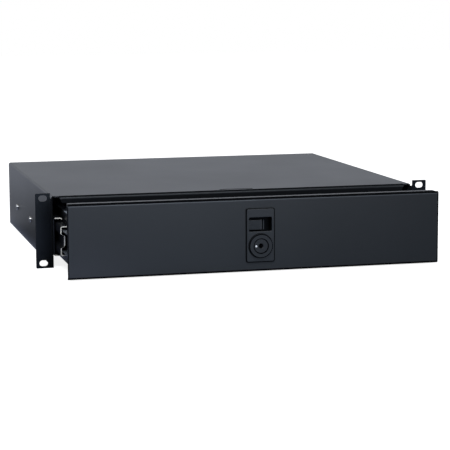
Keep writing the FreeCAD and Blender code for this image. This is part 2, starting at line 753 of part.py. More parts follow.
def pan_head_screw(width, height, shank_dia, shank_length):
    """Pan head screw along +X, seat of the head at the origin, with a cross recess."""
    r, h = width / 2, height
    crown = h * 0.35
    points = [FreeCAD.Vector(0, 0, 0), FreeCAD.Vector(0, r, 0), FreeCAD.Vector(-(h - crown), r, 0)]
    top = FreeCAD.Vector(-h, 0, 0)
    side = FreeCAD.Vector(-(h - crown * 0.35), r * 0.72, 0)
    edges = [Part.makeLine(points[0], points[1]), Part.makeLine(points[1], points[2]),
             Part.Arc(points[2], side, top).toShape(), Part.makeLine(top, points[0])]
    profile = Part.Face(Part.Wire(edges))
    head = profile.revolve(FreeCAD.Vector(0, 0, 0), FreeCAD.Vector(1, 0, 0), 360)
    along = FreeCAD.Vector(1, 0, 0)
    shank = Part.makeCylinder(shank_dia / 2, shank_length, FreeCAD.Vector(0, 0, 0), along)
    screw = head.fuse(shank)
    blade, wide, deep = width * 0.13, width * 0.56, h * 0.6
    for along_y, along_z in ((blade, wide), (wide, blade)):
        corner = FreeCAD.Vector(-h - 0.01, -along_y / 2, -along_z / 2)
        screw = screw.cut(Part.makeBox(deep, along_y, along_z, corner))
    return screw.removeSplitter()


def make_side_screws(name, rows, level, seat, length, inward):
    """Slide screws, three a side; inward 1 has the heads outside the chassis, -1 inside the tray."""
    solids = []
    for side in (-1, 1):
        for row in rows:
            screw = pan_head_screw(head_dia.value, head_high.value, thread.value, length.value)
            turn = 180 if side * inward > 0 else 0
            screw.rotate(FreeCAD.Vector(0, 0, 0), FreeCAD.Vector(0, 0, 1), turn)
            screw.translate(FreeCAD.Vector(seat.value * side, row.value, level.value))
            solids.append(screw)
    group = doc.addObject("Part::Feature", name)
    group.Shape = Part.makeCompound(solids)
    return keep(group, name)


def make_slides():
    """Both three member slides, with cages, balls, stops and screws."""
    outer_front = outer_cage_front - drawer_open / 4
    inner_front_now = inner_cage_front - drawer_open * 3 / 4
    for side, word in ((-1, "left"), (1, "right")):
        make_fixed_member(side, word)
        make_middle_member(side, word)
        make_drawer_member(side, word)
        make_outer_cage(side, word)
        make_inner_cage(side, word)
        make_balls(side, f"{word}_outer_balls", outer_front, outer_ball_out, outer_ball_level, outer_ball_dia)
        make_balls(side, f"{word}_inner_balls", inner_front_now, inner_ball_out, inner_ball_level,
                   inner_ball_dia)
        make_bumper(side, word)
    length = chassis_gauge + slide_gauge
    make_side_screws("chassis_slide_screws", slide_screw_rows, screw_level, half_chassis, length, 1)
    length = tray_gauge + slide_gauge + screw_tail
    make_side_screws("tray_slide_screws", tray_screw_rows, slide_level, tray_inside, length, -1)


# Drawer tray

def make_drawer_tray():
    """Floor and sides folded from one sheet, with a flange turned in along each side."""
    body = new_body("drawer_tray")
    gauge = tray_gauge
    brim = tray_outside - tray_flange
    half = [(brim, tray_rim - gauge), (brim, tray_rim), (tray_outside, tray_rim), (tray_outside, tray_floor)]
    back = [(tray_inside, tray_floor + gauge), (tray_inside, tray_rim - gauge)]
    right = half
    left = [(-x, z) for x, z in reversed(half)]
    inner_left = [(-x, z) for x, z in reversed(back)]
    outline = right + left + inner_left + back
    pad(body, "trough", "XZ", behind(panel_gauge + tray_gauge), tray_length, [outline])
    holes = [("circle", row, slide_level, thread + hole_play) for row in tray_screw_rows]
    pocket(body, "slide_screw_holes", "YZ", -tray_outside - 1, tray_outside * 2 + 2, holes)
    for word, corners, radius in (
            ("outside", [(tray_outside, tray_rim), (tray_outside, tray_floor)], bend_inside + gauge),
            ("inside", [(tray_inside, tray_rim - gauge), (tray_inside, tray_floor + gauge)], bend_inside)):
        both = corners + [(-x, z) for x, z in corners]
        round_edges(body, f"bends_{word}", 1, both, radius)
    return body


def stud_places():
    """Studs that hold the panel to the front wall: four across, in two rows."""
    return [(x * side, z) for x in (stud_inner, stud_across) for side in (-1, 1) for z in stud_rows]


def pocket_outline(clearance):
    """Outer edge of the thumb recess box, opened by clearance."""
    edge = pocket_wall + clearance
    return rectangle(window_left - edge, window_low - edge, window_right + edge, window_high + edge)


def make_tray_front_wall():
    """Front wall of the tray, behind the panel, with the holes for lock, recess and studs."""
    body = new_body("tray_front_wall")
    plate = rectangle(-tray_outside, tray_floor, tray_outside, front_wall_top)
    front = behind(panel_gauge)
    pad(body, "plate", "XZ", front, tray_gauge, [plate])
    holes = [("circle", x, z, thread + hole_play * 2) for x, z in stud_places()]
    holes.append(("circle", lock_across, lock_level, barrel_dia + hole_play))
    holes.append(pocket_outline(hole_play))
    pocket(body, "openings", "XZ", front - 1, tray_gauge + 2, holes)
    corners = [(tray_outside, front_wall_top), (-tray_outside, front_wall_top)]
    round_edges(body, "corners", 1, corners, wall_corner)
    return body


def make_tray_rear_wall():
    """Rear wall of the tray, with a stiffening flange turned forward at its top."""
    body = new_body("tray_rear_wall")
    rear = behind(panel_gauge + tray_gauge + tray_length)
    front = rear - tray_gauge
    low = tray_floor + tray_gauge
    high = tray_rim - tray_gauge
    half = tray_inside - bend_inside
    profile = [(front, low), (rear, low), (rear, high), (rear - tray_flange, high),
               (rear - tray_flange, high - tray_gauge), (front, high - tray_gauge)]
    pad(body, "wall", "YZ", -half, half * 2, [profile])
    round_edges(body, "bend_outside", 0, [(rear, high)], bend_inside + tray_gauge)
    round_edges(body, "bend_inside", 0, [(front, high - tray_gauge)], bend_inside)
    return body


# Front panel

def make_front_panel():
    """Face sheet with a flange turned back along its top and bottom edges."""
    body = new_body("front_panel")
    gauge = panel_gauge
    half = panel_width / 2
    face_back = behind(gauge)
    profile = [(face, panel_low), (behind(panel_bottom_flange), panel_low),
               (behind(panel_bottom_flange), panel_low + gauge), (face_back, panel_low + gauge),
               (face_back, panel_high - gauge), (behind(panel_top_flange), panel_high - gauge),
               (behind(panel_top_flange), panel_high), (face, panel_high)]
    pad(body, "folded_sheet", "YZ", -half, panel_width, [profile])
    inset = half - panel_flange_inset
    ends = [rectangle(inset, panel_low - 1, half + 1, panel_high + 1),
            rectangle(-half - 1, panel_low - 1, -inset, panel_high + 1)]
    outer = gauge + bend_inside
    pocket(body, "flange_reliefs", "XZ", behind(outer + 1), panel_top_flange, ends)
    openings = [("circle", lock_across, lock_level, barrel_dia + hole_play), pocket_outline(hole_play)]
    pocket(body, "openings", "XZ", face - 1, gauge + 2, openings)
    round_edges(body, "bends_outside", 0, [(face, panel_high), (face, panel_low)], outer)
    bends = [(face_back, panel_high - gauge), (face_back, panel_low + gauge)]
    round_edges(body, "bends_inside", 0, bends, bend_inside)
    return body


def make_panel_studs():
    """Studs welded to the back of the panel, a group of separate solids."""
    back = FreeCAD.Vector(0, 1, 0)
    solids = []
    for x, z in stud_places():
        foot = FreeCAD.Vector(x.value, behind(panel_gauge).value, z.value)
        solids.append(Part.makeCylinder(thread.value / 2, stud_length.value, foot, back))
    group = doc.addObject("Part::Feature", "panel_studs")
    group.Shape = Part.makeCompound(solids)
    return keep(group, "panel_studs")


def hexagon_prism(x, y, z, across_flats, thickness, bore):
    """Hexagon nut along +Y with a plain bore."""
    corner = across_flats / 2 / math.cos(math.pi / 6)
    ring = []
    for index in range(7):
        angle = math.pi / 3 * index
        ring.append(FreeCAD.Vector(x + corner * math.cos(angle), y, z + corner * math.sin(angle)))
    prism = Part.Face(Part.makePolygon(ring)).extrude(FreeCAD.Vector(0, thickness, 0))
    hole = Part.makeCylinder(bore / 2, thickness + 2, FreeCAD.Vector(x, y - 1, z), FreeCAD.Vector(0, 1, 0))
    return prism.cut(hole)


def make_panel_nuts():
    """Nuts on the panel studs, inside the tray, a group of separate solids."""
    seat = behind(panel_gauge + tray_gauge).value
    bore = (thread + thread_play).value
    flats, thick = stud_nut_flats.value, stud_nut_thick.value
    solids = [hexagon_prism(x.value, seat, z.value, flats, thick, bore) for x, z in stud_places()]
    group = doc.addObject("Part::Feature", "panel_nuts")
    group.Shape = Part.makeCompound(solids)
    return keep(group, "panel_nuts")


# Lock and latch

def make_lock_plate():
    """Moulded plate on the panel with the lock hole and the thumb recess behind it."""
    body = new_body("lock_plate")
    left, right = lock_across - plate_width / 2, lock_across + plate_width / 2
    plate = rectangle(left, plate_bottom, right, plate_top)
    pad(body, "plate", "XZ", behind(-plate_proud), plate_proud, [plate])
    corners = [(x, z) for x in (left, right) for z in (plate_bottom, plate_top)]
    round_edges(body, "corners", 1, corners, plate_corner)
    pad(body, "recess_box", "XZ", face, pocket_deep + pocket_wall, [pocket_outline(0)])
    window = rectangle(window_left, window_low, window_right, window_high)
    pocket(body, "recess", "XZ", behind(-plate_proud - 1), plate_proud + pocket_deep + 1, [window])
    edges = [(x, z) for x in (window_left, window_right) for z in (window_low, window_high)]
    round_edges(body, "recess_corners", 1, edges, recess_corner)
    stem_left = lock_across - stem_shift - stem_width / 2 - button_play
    stem_right = lock_across - stem_shift + stem_width / 2 + button_stroke + button_play
    stem_half = stem_height / 2 + button_play
    slot = rectangle(stem_left, window_rise - stem_half, stem_right, window_rise + stem_half)
    pocket(body, "stem_slot", "XZ", behind(pocket_deep - 1), pocket_wall + 2, [slot])
    hole = ("circle", lock_across, lock_level, barrel_dia + hole_play)
    pocket(body, "lock_hole", "XZ", behind(-plate_proud - 1), plate_proud + 2, [hole])
    round_rims(body, "front_edges", behind(-plate_proud), bezel_edge * 2 / 3)
    return body


bezel_front = -plate_proud - bezel_thick


def make_lock_body():
    """Fixed lock case: a bezel in front of the plate and a barrel through plate, panel and wall."""
    body = new_body("lock_body")
    centre = (lock_across, lock_level)
    bore = plug_dia + plug_play * 2
    pad(body, "bezel", "XZ", behind(bezel_front), bezel_thick, [("circle", *centre, bezel_dia)])
    pad(body, "barrel", "XZ", behind(-plate_proud), barrel_back + plate_proud, [("circle", *centre, barrel_dia)])
    pocket(body, "bore", "XZ", behind(bezel_front - 1), barrel_back - bezel_front + 2, [("circle", *centre, bore)])
    round_rims(body, "front_edges", behind(bezel_front), bezel_edge)
    return body


def make_lock_cylinder():
    """Lock plug that turns in the case, with its key slot and its tail for the cam."""
    body = new_body("lock_cylinder")
    centre = (lock_across, lock_level)
    front = bezel_front + plug_sink
    pad(body, "plug", "XZ", behind(front), barrel_back - front, [("circle", *centre, plug_dia)])
    round_rims(body, "face_edge", behind(front), plug_edge)
    pad(body, "tail", "XZ", behind(barrel_back), cam_back - barrel_back, [("circle", *centre, tail_dia)])
    keyway = rectangle(lock_across - keyway_width / 2, lock_level - keyway_height / 2,
                       lock_across + keyway_width / 2, lock_level + keyway_height / 2)
    pocket(body, "key_slot", "XZ", behind(front - 1), keyway_deep + 1, [keyway])
    return body


def make_lock_nut():
    """Nut that clamps the lock case to the front wall from behind."""
    nut = doc.addObject("Part::Feature", "lock_nut")
    seat = behind(panel_gauge + tray_gauge)
    nut.Shape = hexagon_prism(lock_across.value, seat.value, lock_level.value, nut_across.value,
                              nut_thick.value, (barrel_dia + thread_play).value)
    return keep(nut, "lock_nut")


def make_lock_cam():
    """Long cam on the lock tail; it lies to the left unlocked and stands up behind the lip locked."""
    body = new_body("lock_cam")
    start = (lock_across, lock_level)
    end = (lock_across - cam_reach + cam_width / 2, lock_level)
    pad(body, "arm", "XZ", behind(cam_back), cam_thick, [("obround", end, start, cam_width)])
    hole = ("circle", lock_across, lock_level, thread)
    pocket(body, "screw_hole", "XZ", behind(cam_back) - 1, cam_thick + 2, [hole])
    return body


def make_cam_screw():
    """Screw that holds the cam on the tail of the plug."""
    screw = pan_head_screw(cam_screw_dia.value, cam_screw_high.value, thread.value, cam_thick.value)
    screw.rotate(FreeCAD.Vector(0, 0, 0), FreeCAD.Vector(0, 0, 1), -90)
    back = behind(cam_back + cam_thick)
    screw.translate(FreeCAD.Vector(lock_across.value, back.value, lock_level.value))
    group = doc.addObject("Part::Feature", "cam_screw")
    group.Shape = screw
    return keep(group, "cam_screw")


button_left = window_left + button_play
button_low = window_rise - button_height / 2
stem_centre = lock_across - stem_shift


def make_latch_button():
    """Thumb slide in the recess, with a stem through the slot in the recess floor."""
    body = new_body("latch_button")
    button_right = button_left + button_width
    button_high = button_low + button_height
    cap = rectangle(button_left, button_low, button_right, button_high)
    pad(body, "cap", "XZ", behind(button_sink), pocket_deep - button_sink - button_play, [cap])
    stem = rectangle(stem_centre - stem_width / 2, window_rise - stem_height / 2,
                     stem_centre + stem_width / 2, window_rise + stem_height / 2)
    root = pocket_deep - button_play * 2
    pad(body, "stem", "XZ", behind(root), slider_front - root, [stem])
    first = (button_width - groove_pitch * (groove_count - 1) - groove_width) / 2
    grooves = []
    for index in range(int(groove_count.value)):
        left = button_left + first + groove_pitch * index
        grooves.append(rectangle(left, button_low + groove_end, left + groove_width, button_high - groove_end))
    pocket(body, "grip_grooves", "XZ", behind(button_sink - 1), groove_deep + 1, grooves)
    front = behind(button_sink)
    round_edges(body, "cap_edges", 2, [(button_left, front), (button_right, front)], button_edge)
    return body


def make_latch_slider():
    """Plate on the stem with a slanted slot that lifts the bolt as it moves to the right."""
    body = new_body("latch_slider")
    left = lock_across - slider_width / 2
    plate = rectangle(left, slider_low, left + slider_width, slider_high)
    pad(body, "plate", "XZ", behind(slider_front), slider_thick, [plate])
    start = (lock_across + pin_shift, pin_rise)
    end = (lock_across + pin_shift - button_stroke, pin_rise + button_stroke)
    pocket(body, "lift_slot", "XZ", behind(slider_front) - 1, slider_thick + 2,
           [("obround", end, start, pin_dia + pin_play)])
    hole = ("circle", stem_centre, window_rise, small_screw + thread_play)
    pocket(body, "screw_hole", "XZ", behind(slider_front) - 1, slider_thick + 2, [hole])
    corners = [(x, z) for x in (left, left + slider_width) for z in (slider_low, slider_high)]
    round_edges(body, "corners", 1, corners, plate_corner)
    return body


def make_slider_screw():
    """Headless screw that holds the cam plate to the stem."""
    head = doc.addObject("Part::Cylinder", "slider_screw")
    bind(head, "Radius", small_screw / 2)
    bind(head, "Height", slider_thick)
    head.Placement = FreeCAD.Placement(FreeCAD.Vector(0, 0, 0), FreeCAD.Rotation(FreeCAD.Vector(1, 0, 0), -90))
    bind(head, "Placement.Base.x", stem_centre)
    bind(head, "Placement.Base.y", behind(slider_front))
    bind(head, "Placement.Base.z", window_rise)
    return keep(head, "slider_screw")


def make_latch_bolt():
    """Flat bolt that rises into the slot of the chassis top."""
    body = new_body("latch_bolt")
    half = bolt_width / 2
    plate = rectangle(lock_across - half, -bolt_low, lock_across + half, bolt_top)
    pad(body, "blade", "XZ", behind(bolt_front), bolt_thick, [plate])
    round_edges(body, "nose", 0, [(behind(bolt_front), bolt_top)], bolt_nose)
    hole = ("circle", lock_across + pin_shift, pin_rise, pin_dia)
    pocket(body, "pin_hole", "XZ", behind(bolt_front) - 1, bolt_thick + 2, [hole])
    return body


def make_follower_pin():
    """Pin pressed in the bolt that runs in the slanted slot of the plate."""
    pin = doc.addObject("Part::Cylinder", "follower_pin")
    front = behind(slider_front)
    bind(pin, "Radius", pin_dia / 2)
    bind(pin, "Height", behind(bolt_front + bolt_thick) - front)
    pin.Placement = FreeCAD.Placement(FreeCAD.Vector(0, 0, 0), FreeCAD.Rotation(FreeCAD.Vector(1, 0, 0), -90))
    bind(pin, "Placement.Base.x", lock_across + pin_shift)
    bind(pin, "Placement.Base.y", front)
    bind(pin, "Placement.Base.z", pin_rise)
    return keep(pin, "follower_pin")


def guide_outline(clearance):
    """Outer edge of the nylon bolt guide seen from above, opened by clearance."""
    half = bolt_width / 2 + guide_wall + clearance
    front = behind(bolt_front - guide_front - clearance)
    back = behind(bolt_front + bolt_thick + guide_back + clearance)
    return rectangle(lock_across - half, front, lock_across + half, back)


def make_bolt_guide():
    """Nylon guide in the cover top that the bolt slides through."""
    body = new_body("bolt_guide")
    low = slider_high + guide_clear
    pad(body, "block", "XY", low, cover_top - low, [guide_outline(0)])
    half = bolt_width / 2 + guide_play
    hole = rectangle(lock_across - half, behind(bolt_front - guide_play), lock_across + half,
                     behind(bolt_front + bolt_thick + guide_play))
    pocket(body, "slot", "XY", low - 1, cover_top - low + 2, [hole])
    return body


cover_x_left = lock_across - cover_left
cover_x_right = lock_across + cover_right
cover_front = panel_gauge + tray_gauge


def make_latch_cover():
    """Folded cover inside the tray round the lock and latch, screwed to the front wall."""
    body = new_body("latch_cover")
    gauge = tray_gauge
    low, high = cover_bottom, cover_top
    ring = [(cover_x_left - gauge, behind(cover_front)), (cover_x_left - gauge, behind(cover_back + gauge)),
            (cover_x_right + gauge, behind(cover_back + gauge)), (cover_x_right + gauge, behind(cover_front)),
            (cover_x_right, behind(cover_front)), (cover_x_right, behind(cover_back)),
            (cover_x_left, behind(cover_back)), (cover_x_left, behind(cover_front))]
    pad(body, "wrap", "XY", low, high - low, [ring])
    top_back = cover_back - cover_slit
    lid = rectangle(cover_x_left, behind(cover_front), cover_x_right, behind(top_back))
    pad(body, "lid", "XY", high - gauge, gauge, [lid])
    pocket(body, "guide_hole", "XY", high - gauge - 1, gauge + 2, [guide_outline(0)])
    for side, edge, word in ((-1, cover_x_left - gauge, "left"), (1, cover_x_right + gauge, "right")):
        tab = rectangle(edge, behind(cover_front), edge + cover_tab * side, behind(cover_front + gauge))
        pad(body, f"{word}_tab", "XY", low, high - low, [tab])
    holes = [("circle", x, z, thread + hole_play) for x, z in cover_screw_places()]
    pocket(body, "screw_holes", "XZ", behind(cover_front) - 0.5, gauge + 1, holes)
    return body


def cover_screw_places():
    """Screws of the latch cover, two in each tab."""
    left = cover_x_left - tray_gauge - cover_tab / 2
    right = cover_x_right + tray_gauge + cover_tab / 2
    levels = (cover_bottom + cover_screw_inset, cover_top - cover_screw_inset)
    return [(x, z) for x in (left, right) for z in levels]


def make_cover_screws():
    """Screws of the latch cover with heads inside the tray."""
    solids = []
    seat = behind(cover_front + tray_gauge)
    for x, z in cover_screw_places():
        screw = pan_head_screw(head_dia.value, head_high.value, thread.value, tray_gauge.value)
        screw.rotate(FreeCAD.Vector(0, 0, 0), FreeCAD.Vector(0, 0, 1), -90)
        screw.translate(FreeCAD.Vector(x.value, seat.value, z.value))
        solids.append(screw)
    group = doc.addObject("Part::Feature", "cover_screws")
    group.Shape = Part.makeCompound(solids)
    return keep(group, "cover_screws")


def write_parts():
    """Checks every object of the document, then writes one file for each piece."""
    doc.recompute()
    for thing in doc.Objects:
        if "Invalid" in thing.State or "Error" in thing.State:
            raise RuntimeError(f"{thing.Name} failed: {thing.State}")
    for piece in PIECES:
        if piece.Shape.isNull() or not piece.Shape.isValid():
            raise RuntimeError(f"{piece.Label} has no valid shape")
    os.makedirs("parts", exist_ok=True)
    for piece in PIECES:
        piece.Shape.exportStep(f"parts/{piece.Label}.step")


make_chassis_shell()
make_chassis_rear_wall()
make_slides()
make_drawer_tray()
make_tray_front_wall()
make_tray_rear_wall()
make_front_panel()
make_panel_studs()
make_panel_nuts()
make_lock_plate()
make_lock_body()
make_lock_cylinder()
make_lock_nut()
make_lock_cam()
make_cam_screw()
make_latch_button()
make_latch_slider()
make_slider_screw()
make_latch_bolt()
make_follower_pin()
make_bolt_guide()
make_latch_cover()
make_cover_screws()
write_parts()
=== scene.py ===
"""Sliding rack drawer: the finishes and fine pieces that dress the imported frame, in metres."""

import math

import bmesh
import bpy
import numpy as np
from mathutils import Matrix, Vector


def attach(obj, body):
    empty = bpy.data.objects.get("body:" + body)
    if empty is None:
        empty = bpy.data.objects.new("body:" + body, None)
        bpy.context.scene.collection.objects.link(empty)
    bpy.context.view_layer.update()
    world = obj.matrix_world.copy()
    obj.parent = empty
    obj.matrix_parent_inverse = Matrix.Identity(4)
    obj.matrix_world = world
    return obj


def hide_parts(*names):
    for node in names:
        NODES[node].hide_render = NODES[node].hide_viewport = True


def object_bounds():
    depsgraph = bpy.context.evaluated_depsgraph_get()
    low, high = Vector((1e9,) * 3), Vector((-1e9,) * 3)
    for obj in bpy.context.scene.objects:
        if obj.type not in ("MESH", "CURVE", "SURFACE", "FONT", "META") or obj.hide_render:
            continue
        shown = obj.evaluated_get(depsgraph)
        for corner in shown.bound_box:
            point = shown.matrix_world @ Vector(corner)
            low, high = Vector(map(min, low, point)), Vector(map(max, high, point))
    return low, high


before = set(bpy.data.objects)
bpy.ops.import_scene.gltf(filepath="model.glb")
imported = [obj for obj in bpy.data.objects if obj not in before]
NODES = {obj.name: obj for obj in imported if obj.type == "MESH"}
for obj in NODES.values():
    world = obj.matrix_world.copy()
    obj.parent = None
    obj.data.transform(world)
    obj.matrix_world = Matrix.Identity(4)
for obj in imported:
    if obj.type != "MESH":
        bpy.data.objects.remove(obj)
cad_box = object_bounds()
MM = 0.001

# Limits of the zones of painted shade and painted light: across from the middle, along from the chassis
# front, up from the middle
EAR_INSIDE = 223.0 * MM
EAR_FRONT = -1.2 * MM
EAR_BEND = (218.0 * MM, 223.3 * MM)
LIP_SIDE = 212.5 * MM
LIP_BEND_BACK = 2.0 * MM
LIP_BEND_LOW = 38.3 * MM
LIP_SHADE = 36.4 * MM
RIM_LEVEL = 20.85 * MM
RIM_DEPTH = 0.2 * MM
PANEL_SIDE = 218.2 * MM
PANEL_TOP_BEND = 40.15 * MM
PANEL_LOW_BEND = -40.2 * MM
PANEL_BACK = -90.5 * MM
HIGHLIGHT_WIDTH = 1.1 * MM
CUT_DEPTH = 0.3 * MM

# Slide members: front end, rear end, the side to which the cut ends are bare, and the plating's level
SLIDE_STRIPS = {"fixed": (0.0, 350.0, 218.8, 0.05), "middle": (-35.0, 303.0, 222.0, 0.06),
                "drawer": (-76.0, 264.0, 222.0, 0.35)}

# Places on the drawer in millimetres: faces along, levels up, and rows of screws
SLIDE_LEVEL = -7.9
SCREW_LEVEL = -11.3
CHASSIS_SIDE = 222.0
MEMBER_SIDE = 206.6
CHASSIS_ROWS = (53.5, 179.5, 305.5)
TRAY_ROWS = (-40.0, 86.0, 212.0)
COVER_THICK = 1.2
COVER_COLUMNS = (-64.4, 39.0)
COVER_LEVELS = (-20.0, 20.6)
STUD_COLUMNS = (105.0, 190.0)
STUD_LEVELS = (-27.0, 22.0)
PANEL_FACE = -97.9
PANEL_GAUGE = 1.5
WALL_BACK = -95.2
PLATE_FACE = -99.9
PLATE_WELL = PLATE_FACE + 1.4
BUTTON_FACE = -96.9
BUTTON_WELL = BUTTON_FACE + 1.2
BUTTON_LIP = 6.1

# Lock: its axis, and the lines of painted shade and the painted glint on its face, in millimetres
LOCK_X = 2.3
LOCK_Z = -12.85
LOCK_REACH = 32.0
GAP_RADIUS = 8.45
GAP_HALF = 0.6
RIM_RADIUS = 12.9
RIM_BACK = PANEL_FACE - 4.5
DISH_RADIUS = 2.6
DOT_OUT = 5.7
DOT_RADIUS = 1.15

# Painted shade lines: the plate's opposite corners, the corner radii of the line round it, and the ring round
# the bezel
PLATE_CORNERS = ((-13.9, -31.15), (18.5, 29.75))
PLATE_ROUND = 1.6
LINE_INSIDE = 1.2
LINE_WIDTH = 0.75
BEZEL_SHADOW_RADII = (13.7, 14.4)

# Levels of the coats, of the painted shade and of the painted light, as linear greys
COOL = (0.90, 1.0, 1.14)
EAR_SHADE_COAT = 0.028
EDGE_SHADE_COAT = 0.01
RIM_LIGHT_COAT = 0.36
HIGHLIGHT_COAT = 0.045
LIP_SHADE_FILM = 0.009
SHADE_LINE_FILM = 0.004

# Edges that fold by more than this stay sharp; points closer than this are one
SHARP_ANGLE = 21.0
MERGE_DISTANCE = 0.003 * MM

# Camera, fitted to the photograph: place, turn and lens for a square picture on a 36 mm sensor
CAMERA_PLACE = (-505.3 * MM, -1896.7 * MM, 279.6 * MM)
CAMERA_YAW = 14.53
CAMERA_PITCH = 8.18
CAMERA_ROLL = -0.26
CAMERA_LENS = 132.34

# Surround: weight of the horizon band behind and beside, its fading heights, and the sky's levels
BAND_BEHIND = 0.66
BAND_BESIDE = 0.4
BAND_FADE = (0.3, 0.12)
SKY_LEVELS = (0.12, 0.42)

# Floor: half its width in metres, its camera levels, and its colours as reflections see them
FLOOR_HALF = 6.0
FLOOR_PAINT = 0.8
FLOOR_GLOW = 0.83
FLOOR_FAR = 0.27
FLOOR_SHADOW_UNDER = 0.02
FRONT_RIGHT = (0.09, 0.12, 0.17, 1.0)
FRONT_LEFT = (0.17, 0.24, 0.36, 1.0)
FRONT_ASIDE = (0.06, 0.085, 0.13, 1.0)
FRONT_CORNER = (0.45, 0.52, 0.76, 1.0)
BESIDE_NEAR = (0.05, 0.055, 0.065, 1.0)
BESIDE_FAR = (0.43, 0.46, 0.54, 1.0)
BESIDE_CLOSE = (0.34, 0.36, 0.42, 1.0)


# Shader maths

class Wire:
    """A shader socket that can be used in a Python expression."""

    def __init__(self, finish, socket):
        self.finish = finish
        self.socket = socket

    def math(self, operation, other=None):
        """One Math node on this socket, and on the other value where the operation takes two."""
        values = [self] if other is None else [self, other]
        return self.finish.node("ShaderNodeMath", {"operation": operation}, values)

    def above(self, limit):
        """1 where this is more than limit, else 0."""
        return self.math("GREATER_THAN", limit)

    def below(self, limit):
        """1 where this is less than limit, else 0."""
        return self.math("LESS_THAN", limit)

    def __add__(self, other):
        return self.math("ADD", other)

    def __radd__(self, other):
        return self.math("ADD", other)

    def __sub__(self, other):
        return self.math("SUBTRACT", other)

    def __rsub__(self, other):
        return self.finish.node("ShaderNodeMath", {"operation": "SUBTRACT"}, [other, self])

    def __mul__(self, other):
        return self.math("MULTIPLY", other)

    def __rmul__(self, other):
        return self.math("MULTIPLY", other)

    def __truediv__(self, other):
        return self.math("DIVIDE", other)

    def __rtruediv__(self, other):
        return self.finish.node("ShaderNodeMath", {"operation": "DIVIDE"}, [other, self])


class Finish:
    """A material or world under construction, with one method that adds any node."""

    def __init__(self, name, tree=None):
        if tree is None:
            self.material = bpy.data.materials.new(name)
            self.material.use_nodes = True
            tree = self.material.node_tree
            self.surface = tree.nodes["Principled BSDF"]
        self.tree = tree

    def node(self, kind, settings=None, inputs=(), output=0):
        """Adds a node: its settings first, then its sockets by place or by name."""
        made = self.tree.nodes.new(kind)
        for key, value in (settings or {}).items():
            setattr(made, key, value)
        named = inputs.items() if isinstance(inputs, dict) else enumerate(inputs)
        for key, value in named:
            self.feed(made.inputs[key], value)
        return Wire(self, made.outputs[output])

    def feed(self, socket, value):
        """Links a wire to a socket, or sets the socket's own value."""
        if isinstance(value, Wire):
            self.tree.links.new(value.socket, socket)
        else:
            socket.default_value = value

    def axes(self, output="Object"):
        """Object coordinates as three wires; in a world, Generated gives the viewing direction."""
        spot = self.node("ShaderNodeTexCoord", output=output)
        split = self.node("ShaderNodeSeparateXYZ", {}, [spot]).socket.node
        return [Wire(self, socket) for socket in split.outputs]

    def place(self, stretch=(1, 1, 1)):
        """Object coordinates, stretched along the axes."""
        spot = self.node("ShaderNodeTexCoord", output="Object")
        return self.node("ShaderNodeMapping", {}, {"Vector": spot, "Scale": stretch})

    def noise(self, scale, detail=2.0, rough=0.5, stretch=(1, 1, 1)):
        """Smooth noise between 0 and 1; scale is in waves a metre."""
        inputs = {"Vector": self.place(stretch), "Scale": scale, "Detail": detail, "Roughness": rough}
        return self.node("ShaderNodeTexNoise", {}, inputs)

    def ramp(self, value, low, high):
        """0 at low, 1 at high, smooth between."""
        return self.node("ShaderNodeMapRange", {"interpolation_type": "SMOOTHSTEP"},
                         {"Value": value, "From Min": low, "From Max": high})

    def cells(self, scale):
        """Distance to the nearest of scattered points; scale is in cells a metre."""
        return self.node("ShaderNodeTexVoronoi", {}, {"Vector": self.place(), "Scale": scale})

    def blend(self, factor, low, high):
        """Mixes two colours: they are the node's sockets 6 and 7, and its third output."""
        return self.node("ShaderNodeMix", {"data_type": "RGBA"}, {0: factor, 6: low, 7: high}, output=2)

    def bump(self, height, strength, distance):
        """Turns a height between 0 and 1 into a normal."""
        return self.node("ShaderNodeBump", {}, {"Strength": strength, "Distance": distance, "Height": height})

    def cover(self, factor, level):
        """Lays a dull dark film that mirrors nothing over the surface where the factor is 1, as painted
        shade.
        """
        grain = self.noise(700, 2.0)
        colour = self.blend(grain, shade(level * 0.6, COOL), shade(level * 1.4, COOL))
        film = {"Base Color": colour, "Roughness": 1.0, "Specular IOR Level": 0.0}
        dull = self.node("ShaderNodeBsdfPrincipled", {}, film)
        laid = self.node("ShaderNodeMixShader", {}, [factor, Wire(self, self.surface.outputs[0]), dull])
        self.feed(self.tree.nodes["Material Output"].inputs["Surface"], laid)

    def set(self, **sockets):
        """Feeds the surface's sockets; an underscore stands for a space."""
        for key, value in sockets.items():
            self.feed(self.surface.inputs[key.replace("_", " ")], value)
        return self.material


def shade(level, tint=(1.0, 1.0, 1.0)):
    """A grey of that linear level, tinted, with full alpha."""
    return (level * tint[0], level * tint[1], level * tint[2], 1.0)


